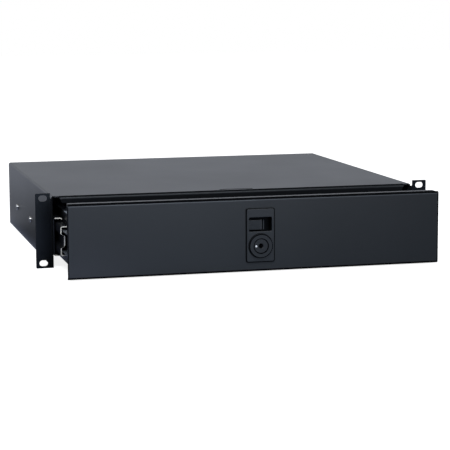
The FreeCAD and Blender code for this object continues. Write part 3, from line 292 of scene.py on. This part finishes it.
def powder_coat(name, level, rough, special=None):
    """Satin black powder coat: fine rounded grains, a little long-wave orange peel.

    Special "ears" darkens the flat ears' coat as painted shade and lays a dark film of painted shade on their
    folds and on the lip's bend and low edge, "rim" pales the tray's upward rim as painted light, and "edges"
    darkens the panel's side edges and bends as painted shade, with a painted highlight just below its top
    bend."""
    finish = Finish(name)
    grains = finish.noise(1500, 3.0, 0.6)
    peel = finish.noise(260, 2.0)
    patches = finish.noise(9, 3.0, 0.6)
    colour = finish.blend(grains * 0.7 + patches * 0.3, shade(level * 0.7, COOL), shade(level * 1.3, COOL))
    roughness = rough - 0.04 + 0.06 * patches + 0.03 * grains
    dark, metal = shade(EAR_SHADE_COAT if special == "ears" else EDGE_SHADE_COAT, COOL), 0.0
    across, along, height = finish.axes()
    apart = across.math("ABSOLUTE")
    if special == "ears":
        # Painted shade: the flat ear faces get a darker metallic coat, and a dark film lies on the ears'
        # folds and on the lip's bend and lower edge
        metal = apart.above(EAR_INSIDE) * along.below(EAR_FRONT)
        bare = height.above(LIP_BEND_LOW).math("MAXIMUM", height.below(LIP_SHADE))
        lip = apart.below(LIP_SIDE) * along.below(LIP_BEND_BACK) * height.above(0.0)
        fold = apart.above(EAR_BEND[0]) * apart.below(EAR_BEND[1]) * along.below(LIP_BEND_BACK)
        finish.cover((lip * bare).math("MAXIMUM", fold), LIP_SHADE_FILM)
    if special == "rim":
        # Painted light: the tray's upward-facing rim strip is paler, as if lit from above
        rim = height.above(RIM_LEVEL) * height.below(RIM_LEVEL + RIM_DEPTH)
        colour = finish.blend(rim * (0.6 + 0.8 * patches), colour, shade(RIM_LIGHT_COAT, COOL))
        roughness = roughness + 0.15 * rim
    if special == "edges":
        # Painted shade on the panel's side edges and bends, a dark film of painted shade on its top bend, and
        # a painted highlight in a line just below the top bend
        front = along.below(PANEL_BACK)
        bends = height.above(PANEL_TOP_BEND).math("MAXIMUM", height.below(PANEL_LOW_BEND))
        metal = apart.above(PANEL_SIDE).math("MAXIMUM", bends) * front
        finish.cover(height.above(PANEL_TOP_BEND) * front * apart.below(PANEL_SIDE), SHADE_LINE_FILM)
        painted_highlight = height.above(PANEL_TOP_BEND - HIGHLIGHT_WIDTH) * front * (1.0 - metal)
        colour = finish.blend(painted_highlight, colour, shade(HIGHLIGHT_COAT, COOL))
    # Painted shade: a darker metallic coat where the metal mask is 1
    if special in ("ears", "edges"):
        colour = finish.blend(metal, colour, dark)
    normal = finish.bump(grains * 0.75 + peel * 0.25, 0.35, 0.05 * MM)
    return finish.set(Base_Color=colour, Metallic=metal, Roughness=roughness, Normal=normal)


def slide_steel(name, front, rear, out, level):
    """Plated slide strip with greased streaks, bare and bright where its ends are cut.

    Further across than out, next to the chassis side, the cut ends get the plated colour instead of the
    bright one."""
    finish = Finish(name)
    lines = finish.noise(900, 3.0, 0.6, (1, 0.03, 1))
    clouds = finish.noise(60, 4.0, 0.6)
    across, along, _ = finish.axes()
    cut = along.below(front + CUT_DEPTH).math("MAXIMUM", along.above(rear - CUT_DEPTH))
    cut = cut * across.math("ABSOLUTE").below(out)
    plated = finish.blend(clouds, shade(level * 0.6, COOL), shade(level * 1.4, COOL))
    colour = finish.blend(cut, plated, (0.95, 0.91, 0.80, 1.0))
    roughness = 0.34 + 0.12 * lines
    normal = finish.bump(lines, 0.15, 0.02 * MM)
    return finish.set(Base_Color=colour, Metallic=0.9 - 0.7 * cut, Roughness=roughness, Normal=normal)


def zinc_steel(name, level, rough):
    """Zinc plated strip: metal with fine rolling lines along the slide and cloudy plating."""
    finish = Finish(name)
    lines = finish.noise(900, 3.0, 0.6, (1, 0.03, 1))
    clouds = finish.noise(38, 4.0, 0.6)
    dull, bright = shade(level * 0.86, (1.0, 1.0, 1.03)), shade(level * 1.06, (1.0, 0.99, 0.96))
    colour = finish.blend(clouds, dull, bright)
    roughness = rough - 0.06 + 0.10 * lines + 0.06 * clouds
    normal = finish.bump(lines, 0.15, 0.02 * MM)
    return finish.set(Base_Color=colour, Metallic=1.0, Roughness=roughness, Normal=normal)


def chrome(name, level, rough):
    """Bright plated metal with faint smears."""
    finish = Finish(name)
    smears = finish.noise(120, 3.0, 0.6)
    normal = finish.bump(smears, 0.05, 0.02 * MM)
    roughness = rough - 0.04 + 0.08 * smears
    return finish.set(Base_Color=shade(level), Metallic=1.0, Roughness=roughness, Normal=normal)


def moulded_plastic(name, level, rough):
    """Moulded plastic with a fine eroded texture."""
    finish = Finish(name)
    texture = finish.cells(2200)
    clouds = finish.noise(40)
    colour = finish.blend(clouds, shade(level * 0.9), shade(level * 1.1))
    normal = finish.bump(texture, 0.25, 0.03 * MM)
    return finish.set(Base_Color=colour, Roughness=rough - 0.03 + 0.06 * clouds, Normal=normal)


def thumb_plastic(name, deep, painted_highlight=None):
    """Satin moulded plastic, near black as painted shade where it lies deeper than deep; given an edge
    across, paler to its right as a painted highlight.
    """
    finish = Finish(name)
    grain = finish.noise(1100, 3.0, 0.6)
    clouds = finish.noise(14, 3.0, 0.6)
    across, along, _ = finish.axes()
    # Painted shade: the recess deeper than deep is near black and dark metallic
    recess_shade = along.above(deep * MM)
    colour = finish.blend(grain * 0.6 + clouds * 0.4, shade(0.013, COOL), shade(0.022, COOL))
    colour = finish.blend(recess_shade, colour, shade(0.012, COOL))
    if painted_highlight is not None:
        # Painted highlight: a paler strip on the face to the right of the given edge
        lit_strip = across.above(painted_highlight * MM) * (1.0 - recess_shade)
        colour = finish.blend(lit_strip, colour, shade(0.035, COOL))
    normal = finish.bump(grain, 0.25, 0.04 * MM)
    return finish.set(Base_Color=colour, Metallic=recess_shade, Roughness=0.33 + 0.3 * recess_shade, Normal=normal)


def lock_finish(name):
    """Black lacquered lock face, brushed in rings, with lines of painted shade and a white dot painted as a
    glint.

    The lines are a dark film of painted shade where the distance from the lock's axis is within GAP_HALF of
    the gap between plug and case, beyond the bezel's rim, or inside the dish of the key slot."""
    finish = Finish(name)
    across, along, height = finish.axes()
    out = across - LOCK_X * MM
    up = height - LOCK_Z * MM
    far = (out * out + up * up).math("SQRT")
    rings = finish.node("ShaderNodeTexNoise", {"noise_dimensions": "1D"}, {"W": far, "Scale": 4000.0})
    clouds = finish.noise(40, 3.0, 0.6)
    # Painted shade: dark rings at the gap between plug and case and beyond the bezel's rim, and a dark disc
    # in the key slot's dish
    gap = (far - GAP_RADIUS * MM).math("ABSOLUTE").below(GAP_HALF * MM)
    rim = far.above(RIM_RADIUS * MM) * along.below(RIM_BACK * MM)
    lines = gap.math("MAXIMUM", rim).math("MAXIMUM", far.below(DISH_RADIUS * MM))
    # Painted glint: a white spot left of the lock's axis
    aside = out + DOT_OUT * MM
    dot = (aside * aside + up * up).below((DOT_RADIUS * MM) ** 2)
    colour = finish.blend(clouds, shade(0.010, COOL), shade(0.016, COOL))
    colour = finish.blend(dot, colour, shade(0.9))
    roughness = 0.30 + 0.08 * rings
    normal = finish.bump(rings, 0.1, 0.02 * MM)
    finish.cover(lines, SHADE_LINE_FILM)
    return finish.set(Base_Color=colour, Roughness=roughness, Normal=normal)


def shadow_black():
    """Black that returns almost no light, for pieces laid as painted shade."""
    finish = Finish("shadow_black")
    grain = finish.noise(700, 2.0)
    colour = finish.blend(grain, shade(0.004), shade(0.008))
    return finish.set(Base_Color=colour, Metallic=1.0, Roughness=0.5 + 0.2 * grain)


ZINC = zinc_steel("zinc_plate", 0.62, 0.3)
SCREW = zinc_steel("screw_zinc", 0.72, 0.22)
RUBBER = moulded_plastic("stop_rubber", 0.004, 0.8)


def dress(names, material):
    """Gives CAD nodes their material."""
    for name in names:
        slots = NODES[name].material_slots
        if not slots:
            NODES[name].data.materials.append(material)
        for place in slots:
            place.material = material


def dress_all():
    """Every CAD node gets its finish."""
    dress(["chassis_shell", "chassis_rear_wall"], powder_coat("chassis_coat", 0.016, 0.32, "ears"))
    dress(["front_panel"], powder_coat("panel_coat", 0.015, 0.32, "edges"))
    tray_coat = powder_coat("tray_coat", 0.02, 0.36, "rim")
    dress(["drawer_tray", "tray_front_wall", "tray_rear_wall"], tray_coat)
    steels = {part: slide_steel(f"{part}_steel", front * MM, rear * MM, out * MM, level)
              for part, (front, rear, out, level) in SLIDE_STRIPS.items()}
    for side in ("left", "right"):
        for part, steel in steels.items():
            dress([f"{side}_slide_{part}_member"], steel)
    both = [f"{side}_{part}" for side in ("left", "right") for part in ("outer", "inner")]
    dress([f"{part}_ball_cage" for part in both], ZINC)
    dress([f"{part}_balls" for part in both], chrome("ball_steel", 0.7, 0.08))
    dress(["left_slide_bumper", "right_slide_bumper"], RUBBER)
    dress(["slider_screw", "lock_cam", "latch_slider", "latch_bolt", "follower_pin", "latch_cover"], ZINC)
    dress(["bolt_guide"], moulded_plastic("guide_nylon", 0.6, 0.45))
    dress(["lock_plate"], thumb_plastic("plate_plastic", PLATE_WELL))


# Solids as points and faces, drawn in millimetres round a local Z axis

def loft(outlines, heights, ring=False):
    """Skin through outlines of equal count at the given heights.

    Each corner of an outline makes a quad with the next corner and with the same two of the next outline.
    The first and the last outline are capped; a ring has its last outline joined to its first instead."""
    outlines = np.asarray(outlines, float)
    count, around = outlines.shape[:2]
    levels = np.broadcast_to(np.asarray(heights, float).reshape(count, -1), (count, around))
    points = np.concatenate([outlines, levels[..., None]], axis=2).reshape(-1, 3)
    number = np.arange(count * around).reshape(count, around)
    beside = np.roll(number, -1, axis=1)
    quads = np.stack([number, beside, np.roll(beside, -1, axis=0), np.roll(number, -1, axis=0)], axis=2)
    faces = quads[:None if ring else -1].reshape(-1, 4).tolist()
    if not ring:
        faces += [number[0, ::-1].tolist(), number[-1].tolist()]
    return points, faces


def circle(around):
    """Unit circle: cosine and sine of equal shares of a full turn."""
    angle = np.arange(around) * 2 * math.pi / around
    return np.stack([np.cos(angle), np.sin(angle)], axis=1)


def lathe(profile, around):
    """Turned solid: each (radius, height) pair is the unit circle times its radius, at its height."""
    unit = circle(around)
    return loft([unit * max(radius, 0.001) for radius, _ in profile], [height for _, height in profile])


def thread_rows(radius, depth, pitch, start, stop, around):
    """Outlines and heights of a screw thread.

    The phase is the height in pitches less the angle in turns, without its whole part. The radius is the
    root's plus the depth times how far twice the phase lies from 1, so it falls from crest to root and back
    once a turn, and it runs out to the root within one pitch of both ends."""
    heights = np.arange(start, stop, pitch / 6)
    turn = np.arange(around) / around
    phase = (heights[:, None] / pitch - turn[None, :]) % 1
    run_out = np.clip(np.minimum(heights - start, stop - heights) / pitch, 0, 1)[:, None]
    radii = radius - depth + depth * np.abs(phase * 2 - 1) * run_out
    return [circle(around) * row[:, None] for row in radii], list(heights)


def joined(solids):
    """Several solids as one list of points and faces: each face's numbers go up by the points before it."""
    points, faces, start = [], [], 0
    for some, sides in solids:
        points.append(some)
        faces += [(np.array(side) + start).tolist() for side in sides]
        start += len(some)
    return np.concatenate(points), faces


def stood(solid, origin, axis):
    """Moves a solid so that its Z axis starts at origin and points along axis.

    A point is the origin plus its three coordinates times right, up and along, which are square to each
    other: right is the upward direction crossed with the axis, and up is the axis crossed with right."""
    points, faces = solid
    along = np.array(axis, float)
    right = np.cross((0, 0, 1), along)
    up = np.cross(along, right)
    turned = points[:, :1] * right + points[:, 1:2] * up + points[:, 2:] * along
    return turned + np.array(origin, float), faces


def as_mesh(name, solid):
    """Closed mesh of a solid, with doubles merged and faces turned outward."""
    mesh = bpy.data.meshes.new(name)
    mesh.from_pydata((solid[0] * MM).tolist(), [], solid[1])
    work = bmesh.new()
    work.from_mesh(mesh)
    bmesh.ops.remove_doubles(work, verts=work.verts, dist=MERGE_DISTANCE)
    bmesh.ops.recalc_face_normals(work, faces=work.faces)
    work.to_mesh(mesh)
    work.free()
    return mesh


def carved(solid, cutter):
    """A solid less a cutter, back as points and faces."""
    pair = []
    for part in (solid, cutter):
        pair.append(bpy.data.objects.new("carving", as_mesh("carving", part)))
        bpy.context.scene.collection.objects.link(pair[-1])
    body, tool = pair
    cut = body.modifiers.new("cut", "BOOLEAN")
    cut.object = tool
    cut.operation = "DIFFERENCE"
    cut.solver = "EXACT"
    bpy.context.view_layer.update()
    mesh = body.evaluated_get(bpy.context.evaluated_depsgraph_get()).to_mesh()
    points = np.empty(len(mesh.vertices) * 3, np.float32)
    mesh.vertices.foreach_get("co", points)
    points = points.reshape(-1, 3).astype(float) / MM
    faces = [tuple(face.vertices) for face in mesh.polygons]
    for part in pair:
        bpy.data.objects.remove(part)
    return points, faces


def new_piece(name, points, faces, material):
    """An object made of points in millimetres and faces, smooth but for its edges."""
    mesh = as_mesh(name, (points, faces))
    mesh.shade_smooth()
    mesh.set_sharp_from_angle(angle=math.radians(SHARP_ANGLE))
    mesh.materials.append(material)
    made = bpy.data.objects.new(name, mesh)
    bpy.context.scene.collection.objects.link(made)
    return made


def piece(node, body, material, solid):
    """A finer piece in place of a CAD node."""
    made = new_piece(f"{node}_fine", *solid, material)
    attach(made, body)
    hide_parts(node)


# Screws, studs and nuts

def pan_head(radius, height, shank):
    """Pan head screw: a turned dome and shank less a cross that widens upward, with its seat at height 0."""
    edge = radius - 0.1
    profile = [(1.8, -shank), (2.0, 0.2 - shank), (2.0, 0), (edge, 0), (radius, 0.1),
               (radius, height * 0.56), (edge, height * 0.67), (radius * 0.9, height * 0.79),
               (radius * 0.72, height * 0.89), (radius * 0.5, height * 0.95), (radius * 0.26, height * 0.99),
               (0, height)]
    arm, reach = radius * 0.12, radius * 0.55
    cross = [(arm, -arm), (reach, -arm), (reach, arm), (arm, arm), (arm, reach), (-arm, reach),
             (-arm, arm), (-reach, arm), (-reach, -arm), (-arm, -arm), (-arm, -reach), (arm, -reach)]
    cross = np.array(cross)
    cutter = loft([cross * 0.6, cross, cross * 1.1], [height * 0.35, height * 0.85, height + 0.3])
    return carved(lathe(profile, 40), cutter)


def hex_nut(flats, thick, bore):
    """Hexagon nut, chamfered on both faces and at both ends of its bore.

    At each angle its side lies half the flats over the cosine of the angle from the middle of the flat, and
    the chamfer falls there by the tangent of 30 degrees times the distance beyond the flat."""
    around = 48
    unit = circle(around)
    angle = np.arange(around) * 2 * math.pi / around
    hexagon = flats / 2 / np.cos((angle + math.pi / 6) % (math.pi / 3) - math.pi / 6)
    fall = (hexagon - flats / 2) * math.tan(math.radians(30)) + 0.1
    rim = flats * 0.475
    outlines = [unit * bore / 2, unit * (bore / 2 + 0.3), unit * rim, unit * hexagon[:, None],
                unit * hexagon[:, None], unit * rim, unit * (bore / 2 + 0.3), unit * bore / 2]
    flat = np.zeros(around)
    heights = [flat + 0.3, flat, flat, fall, thick - fall, flat + thick, flat + thick, flat + thick - 0.3]
    return loft(outlines, heights, ring=True)


def stud(radius, length):
    """Weld stud: plain foot, then a screw thread to a chamfered end, all circles round one axis."""
    around = 20
    unit = circle(around)
    outlines, heights = thread_rows(radius, 0.32, 0.7, 1.4, length - 0.4, around)
    outlines = [unit * radius, unit * radius, unit * (radius - 0.32)] + outlines + [unit * (radius - 0.5)]
    return loft(outlines, [0, 1.0, 1.3] + heights + [length])


def make_fasteners():
    """All screws, studs and nuts."""
    chassis_screw = pan_head(3.8, 2.4, 2.7)
    outside = [stood(chassis_screw, (CHASSIS_SIDE * side, row, SCREW_LEVEL), (side, 0, 0))
               for side in (-1, 1) for row in CHASSIS_ROWS]
    piece("chassis_slide_screws", "chassis", SCREW, joined(outside))
    tray_screw = pan_head(3.8, 2.4, 3.0)
    inside = [stood(tray_screw, (MEMBER_SIDE * side, row, SLIDE_LEVEL), (-side, 0, 0))
              for side in (-1, 1) for row in TRAY_ROWS]
    piece("tray_slide_screws", "drawer", SCREW, joined(inside))
    cover_screw = pan_head(3.8, 2.4, 1.2)
    places = [(x, WALL_BACK + COVER_THICK, z) for x in COVER_COLUMNS for z in COVER_LEVELS]
    cover_screws = [stood(cover_screw, place, (0, 1, 0)) for place in places]
    piece("cover_screws", "drawer", SCREW, joined(cover_screws))
    cam_screw = stood(pan_head(3.5, 1.6, 2.0), (LOCK_X, PANEL_FACE + LOCK_REACH, LOCK_Z), (0, 1, 0))
    piece("cam_screw", "lock_plug", SCREW, cam_screw)
    places = [(x * side, z) for x in STUD_COLUMNS for side in (-1, 1) for z in STUD_LEVELS]
    studs = [stood(stud(2.0, 10.2), (x, PANEL_FACE + PANEL_GAUGE, z), (0, 1, 0)) for x, z in places]
    piece("panel_studs", "drawer", SCREW, joined(studs))
    nuts = [stood(hex_nut(7.0, 3.2, 4.1), (x, WALL_BACK, z), (0, 1, 0)) for x, z in places]
    piece("panel_nuts", "drawer", SCREW, joined(nuts))
    lock_nut = stood(hex_nut(24.0, 4.0, 20.1), (LOCK_X, WALL_BACK, LOCK_Z), (0, 1, 0))
    piece("lock_nut", "drawer", SCREW, lock_nut)


# Lock, gasket and thumb slide

def make_lock():
    """Lock case with a flat chamfered bezel and a threaded barrel, and a plug with a warded key slot.

    Both are turned profiles carried round the lock's axis; the barrel's radius falls and rises with the
    distance along the axis less the share of the turn."""
    around = 72
    unit = circle(around)
    outlines, heights = thread_rows(10.0, 0.5, 1.5, 7.2, 21.4, around)
    front = [(8.3, 22), (9.4, 22)]
    back = [(10, 7.0), (10, -2), (13.9, -2), (14, -2.1), (14, -4.4), (13.8, -4.8), (13.4, -5), (8.9, -5),
            (8.5, -4.7), (8.3, -4.1)]
    rings = [unit * radius for radius, _ in front] + outlines[::-1] + [unit * radius for radius, _ in back]
    levels = [level for _, level in front] + heights[::-1] + [level for _, level in back]
    case = stood(loft(rings, levels, ring=True), (LOCK_X, PANEL_FACE, LOCK_Z), (0, 1, 0))
    finish = lock_finish("lock_lacquer")
    piece("lock_body", "drawer", finish, case)
    plug = [(0, -2.9), (1.4, -3.0), (2.4, -3.4), (3.0, -4.0), (3.2, -4.2), (7.95, -4.2), (8.25, -3.9),
            (8.25, 22), (4.5, 22), (4.5, 29.8), (4.3, 30), (0, 30)]
    slot = np.array([(-1.0, -2.9), (1.0, -2.9), (1.0, -1.3), (0.5, -1.1), (0.5, 0.3), (1.0, 0.5), (1.0, 2.9),
                     (-1.0, 2.9), (-1.0, 1.6), (-0.5, 1.4), (-0.5, -0.2), (-1.0, -0.4)])
    solid = carved(lathe(plug, around), loft([slot, slot], [-6.0, 11.8]))
    cylinder = stood(solid, (LOCK_X, PANEL_FACE, LOCK_Z), (0, 1, 0))
    piece("lock_cylinder", "lock_plug", finish, cylinder)


def make_shadow_lines():
    """Painted shade as a black piece: a fine line round the plate for the shade in its seam, and a ring round
    the bezel for the shade at its edge.

    The line's outlines are circles whose quarters are moved out to the plate's four corners: the corner
    centres are the plate's half size less its corner radius, by the sign of the circle's coordinates. The
    ring round the bezel lies between two circles. Each outline pair is carried through its thickness."""
    low, high = np.array(PLATE_CORNERS)
    middle, half = (low + high) / 2, (high - low) / 2
    unit = circle(48)
    centres = middle + np.where(unit > -0.0005, 1.0, -1.0) * (half - PLATE_ROUND)
    outer = centres + unit * (PLATE_ROUND + LINE_WIDTH)
    inner = centres + unit * LINE_INSIDE
    flat = [PANEL_FACE - 0.02, PANEL_FACE - 0.02, PLATE_FACE + 0.2, PLATE_FACE + 0.2]
    frame_line = loft([inner, outer, outer, inner], flat, ring=True)
    inner, outer = ([LOCK_X, LOCK_Z] + circle(72) * radius for radius in BEZEL_SHADOW_RADII)
    flat = [PLATE_FACE, PLATE_FACE, PLATE_FACE - 0.5, PLATE_FACE - 0.5]
    bezel_shadow = loft([inner, outer, outer, inner], flat, ring=True)
    points, faces = joined([frame_line, bezel_shadow])
    made = new_piece("lock_shadow_lines", points[:, [0, 2, 1]], faces, shadow_black())
    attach(made, "drawer")


def make_thumb_slide():
    """Thumb slide: flat face with fine ribs, a groove and a raised lip at its right end, and its stem.

    Its profile, across and along, is carried from bottom to top. The end outlines are the same profile drawn
    in toward its middle, which rounds the upper and lower edges."""
    left, right, front, back = -10.8, 7.3, BUTTON_FACE, -88.2
    face = [(left, back), (left, front + 0.6), (left + 0.2, front + 0.2), (left + 0.6, front)]
    for rib in np.arange(-9.0, 3.0, 1.2):
        face += [(rib, front), (rib + 0.25, front + 0.12), (rib + 0.5, front)]
    face += [(4.6, front), (4.9, front + 0.3), (5.0, front + 2.4), (6.0, front + 2.4), (6.2, front + 0.4),
             (6.5, front), (7.0, front), (right, front + 0.3), (right, back)]
    face = np.array(face)
    middle = np.array([(left + right) / 2, (front + back) / 2])
    small = middle + (face - middle) * (0.97, 0.94)
    cap = loft([small, face, face, small], [5.3, 5.7, 16.3, 16.7])
    stem = np.array([(-8.0, -88.5), (-2.0, -88.5), (-2.0, -76.4), (-8.0, -76.4)])
    stem = loft([stem, stem], [9.35, 14.35])
    plastic = thumb_plastic("thumb_plastic", BUTTON_WELL, BUTTON_LIP)
    piece("latch_button", "thumb_slide", plastic, joined([cap, stem]))


# Stage

def camera_axes():
    """Right, up and forward of the camera from its yaw, pitch and roll."""
    yaw, pitch, roll = (math.radians(angle) for angle in (CAMERA_YAW, CAMERA_PITCH, CAMERA_ROLL))
    flat = np.array([math.sin(yaw), math.cos(yaw), 0.0])
    right = np.array([math.cos(yaw), -math.sin(yaw), 0.0])
    up = np.array([0.0, 0.0, 1.0])
    forward = flat * math.cos(pitch) - up * math.sin(pitch)
    lifted = flat * math.sin(pitch) + up * math.cos(pitch)
    return (right * math.cos(roll) + lifted * math.sin(roll),
            lifted * math.cos(roll) - right * math.sin(roll), forward)


def make_camera():
    """Camera at the photograph's viewing place."""
    data = bpy.data.cameras.new("camera")
    data.lens = CAMERA_LENS
    data.sensor_width = 36.0
    data.clip_start = 0.05
    camera = bpy.data.objects.new("camera", data)
    right, up, forward = camera_axes()
    turn = np.eye(4)
    turn[:3, 0], turn[:3, 1], turn[:3, 2] = right, up, -forward
    turn[:3, 3] = CAMERA_PLACE
    camera.matrix_world = Matrix(turn.tolist())
    bpy.context.scene.collection.objects.link(camera)
    bpy.context.scene.camera = camera


def make_lamp(name, place, size, power, tint):
    """Soft rectangular lamp at place that points at the origin."""
    data = bpy.data.lights.new(name, "AREA")
    data.shape = "RECTANGLE"
    data.size, data.size_y = size
    data.energy = power
    data.color = tint
    lamp = bpy.data.objects.new(name, data)
    forward = -np.array(place) / np.linalg.norm(place)
    right = np.cross(forward, (0, 0, 1))
    right /= np.linalg.norm(right)
    turn = np.eye(4)
    turn[:3, 0], turn[:3, 1], turn[:3, 2] = right, np.cross(right, forward), -forward
    turn[:3, 3] = place
    lamp.matrix_world = Matrix(turn.tolist())
    bpy.context.scene.collection.objects.link(lamp)


def make_world():
    """Even dim surround with a bright band along the horizon behind; plain white to the camera."""
    world = bpy.data.worlds.new("studio")
    world.use_nodes = True
    bpy.context.scene.world = world
    finish = Finish("studio", world.node_tree)
    back = world.node_tree.nodes["Background"]
    across, along, height = finish.axes("Generated")
    flat = across * across + along * along + 0.0001
    behind = along.math("MAXIMUM", 0.0)
    beside = across.math("MAXIMUM", 0.0)
    weight = (BAND_BEHIND * behind * behind + BAND_BESIDE * beside * beside) / flat
    band = finish.ramp(height, -0.01, 0.05) * finish.ramp(height, *BAND_FADE)
    tinted = {0: (0.93, 1.0, 1.16), 3: weight * band}
    glow = finish.node("ShaderNodeVectorMath", {"operation": "SCALE"}, tinted)
    sky = finish.blend(finish.ramp(height, 0.25, 0.6), *(shade(level) for level in SKY_LEVELS))
    light = finish.node("ShaderNodeVectorMath", {"operation": "ADD"}, [glow, sky])
    seen = finish.node("ShaderNodeLightPath", output="Is Camera Ray")
    finish.feed(back.inputs["Color"], finish.blend(seen, light, shade(1.0)))


def floor_glow(finish):
    """Light that the floor gives to reflections: one colour a zone, blended at the zones' borders.

    Ahead of the drawer it is a cool grey, paler to the left and in the near corner; beside it on the left it
    grows paler to the back; under the drawer it is nearly black, a painted shadow."""
    across, along, _ = finish.axes()
    ahead = finish.ramp(along, 0.0, -0.15) * (1.0 - finish.ramp(along, -0.8, -1.4))
    front = finish.blend(finish.ramp(across, 0.3, -0.25), FRONT_RIGHT, FRONT_LEFT)
    glow = finish.blend(ahead, shade(FLOOR_FAR), front)
    aside = finish.ramp(across, -0.04, -0.14) * finish.ramp(along, -0.3, -0.5)
    glow = finish.blend(aside * finish.ramp(along, -1.0, -0.8), glow, FRONT_ASIDE)
    corner = finish.ramp(across, -0.1, -0.22) * finish.ramp(along, -0.32, -0.14)
    glow = finish.blend(corner, glow, FRONT_CORNER)
    beside = finish.blend(finish.ramp(along, 0.2, 1.05), BESIDE_NEAR, BESIDE_FAR)
    close = finish.ramp(across, -0.28, -0.24) * finish.ramp(along, 0.3, 0.5)
    beside = finish.blend(close, beside, BESIDE_CLOSE)
    glow = finish.blend(finish.ramp(across, -0.2, -0.24) * finish.ramp(along, -0.05, 0.05), glow, beside)
    # Painted shadow: the floor's light for reflections is nearly black under the drawer
    under = finish.ramp(along, -0.12, -0.09) * finish.ramp(along, 0.1, 0.0)
    under = under * finish.ramp(across.math("ABSOLUTE"), 0.26, 0.22)
    return finish.blend(under, glow, shade(FLOOR_SHADOW_UNDER))


def make_floor(level):
    """Pale floor with a soft shadow; reflections see floor_glow instead of its paint."""
    near, far = -FLOOR_HALF, FLOOR_HALF
    mesh = bpy.data.meshes.new("floor")
    corners = [(near, near, level), (far, near, level), (far, far, level), (near, far, level)]
    mesh.from_pydata(corners, [], [(0, 1, 2, 3)])
    floor = bpy.data.objects.new("floor", mesh)
    bpy.context.scene.collection.objects.link(floor)
    finish = Finish("floor_paint")
    glow = floor_glow(finish)
    seen = finish.node("ShaderNodeLightPath", output="Is Camera Ray")
    finish.set(Base_Color=finish.blend(seen, shade(0.0), shade(FLOOR_PAINT)), Roughness=0.9,
               Emission_Color=finish.blend(seen, glow, shade(FLOOR_GLOW)), Emission_Strength=1.0,
               Specular_IOR_Level=0.0)
    mesh.materials.append(finish.material)


def make_stage():
    """View settings, surround, floor, lamps and camera."""
    bpy.context.scene.view_settings.view_transform = "Standard"
    make_world()
    make_floor(cad_box[0][2])
    make_camera()
    make_lamp("front_lamp", (0.25, -2.0, 0.30), (0.8, 0.6), 6.0, (0.90, 1.0, 1.15))
    make_lamp("key_lamp", (-0.3, -1.3, 1.5), (1.6, 0.5), 25.0, (0.95, 1.0, 1.08))


dress_all()
make_fasteners()
make_lock()
make_shadow_lines()
make_thumb_slide()
make_stage()
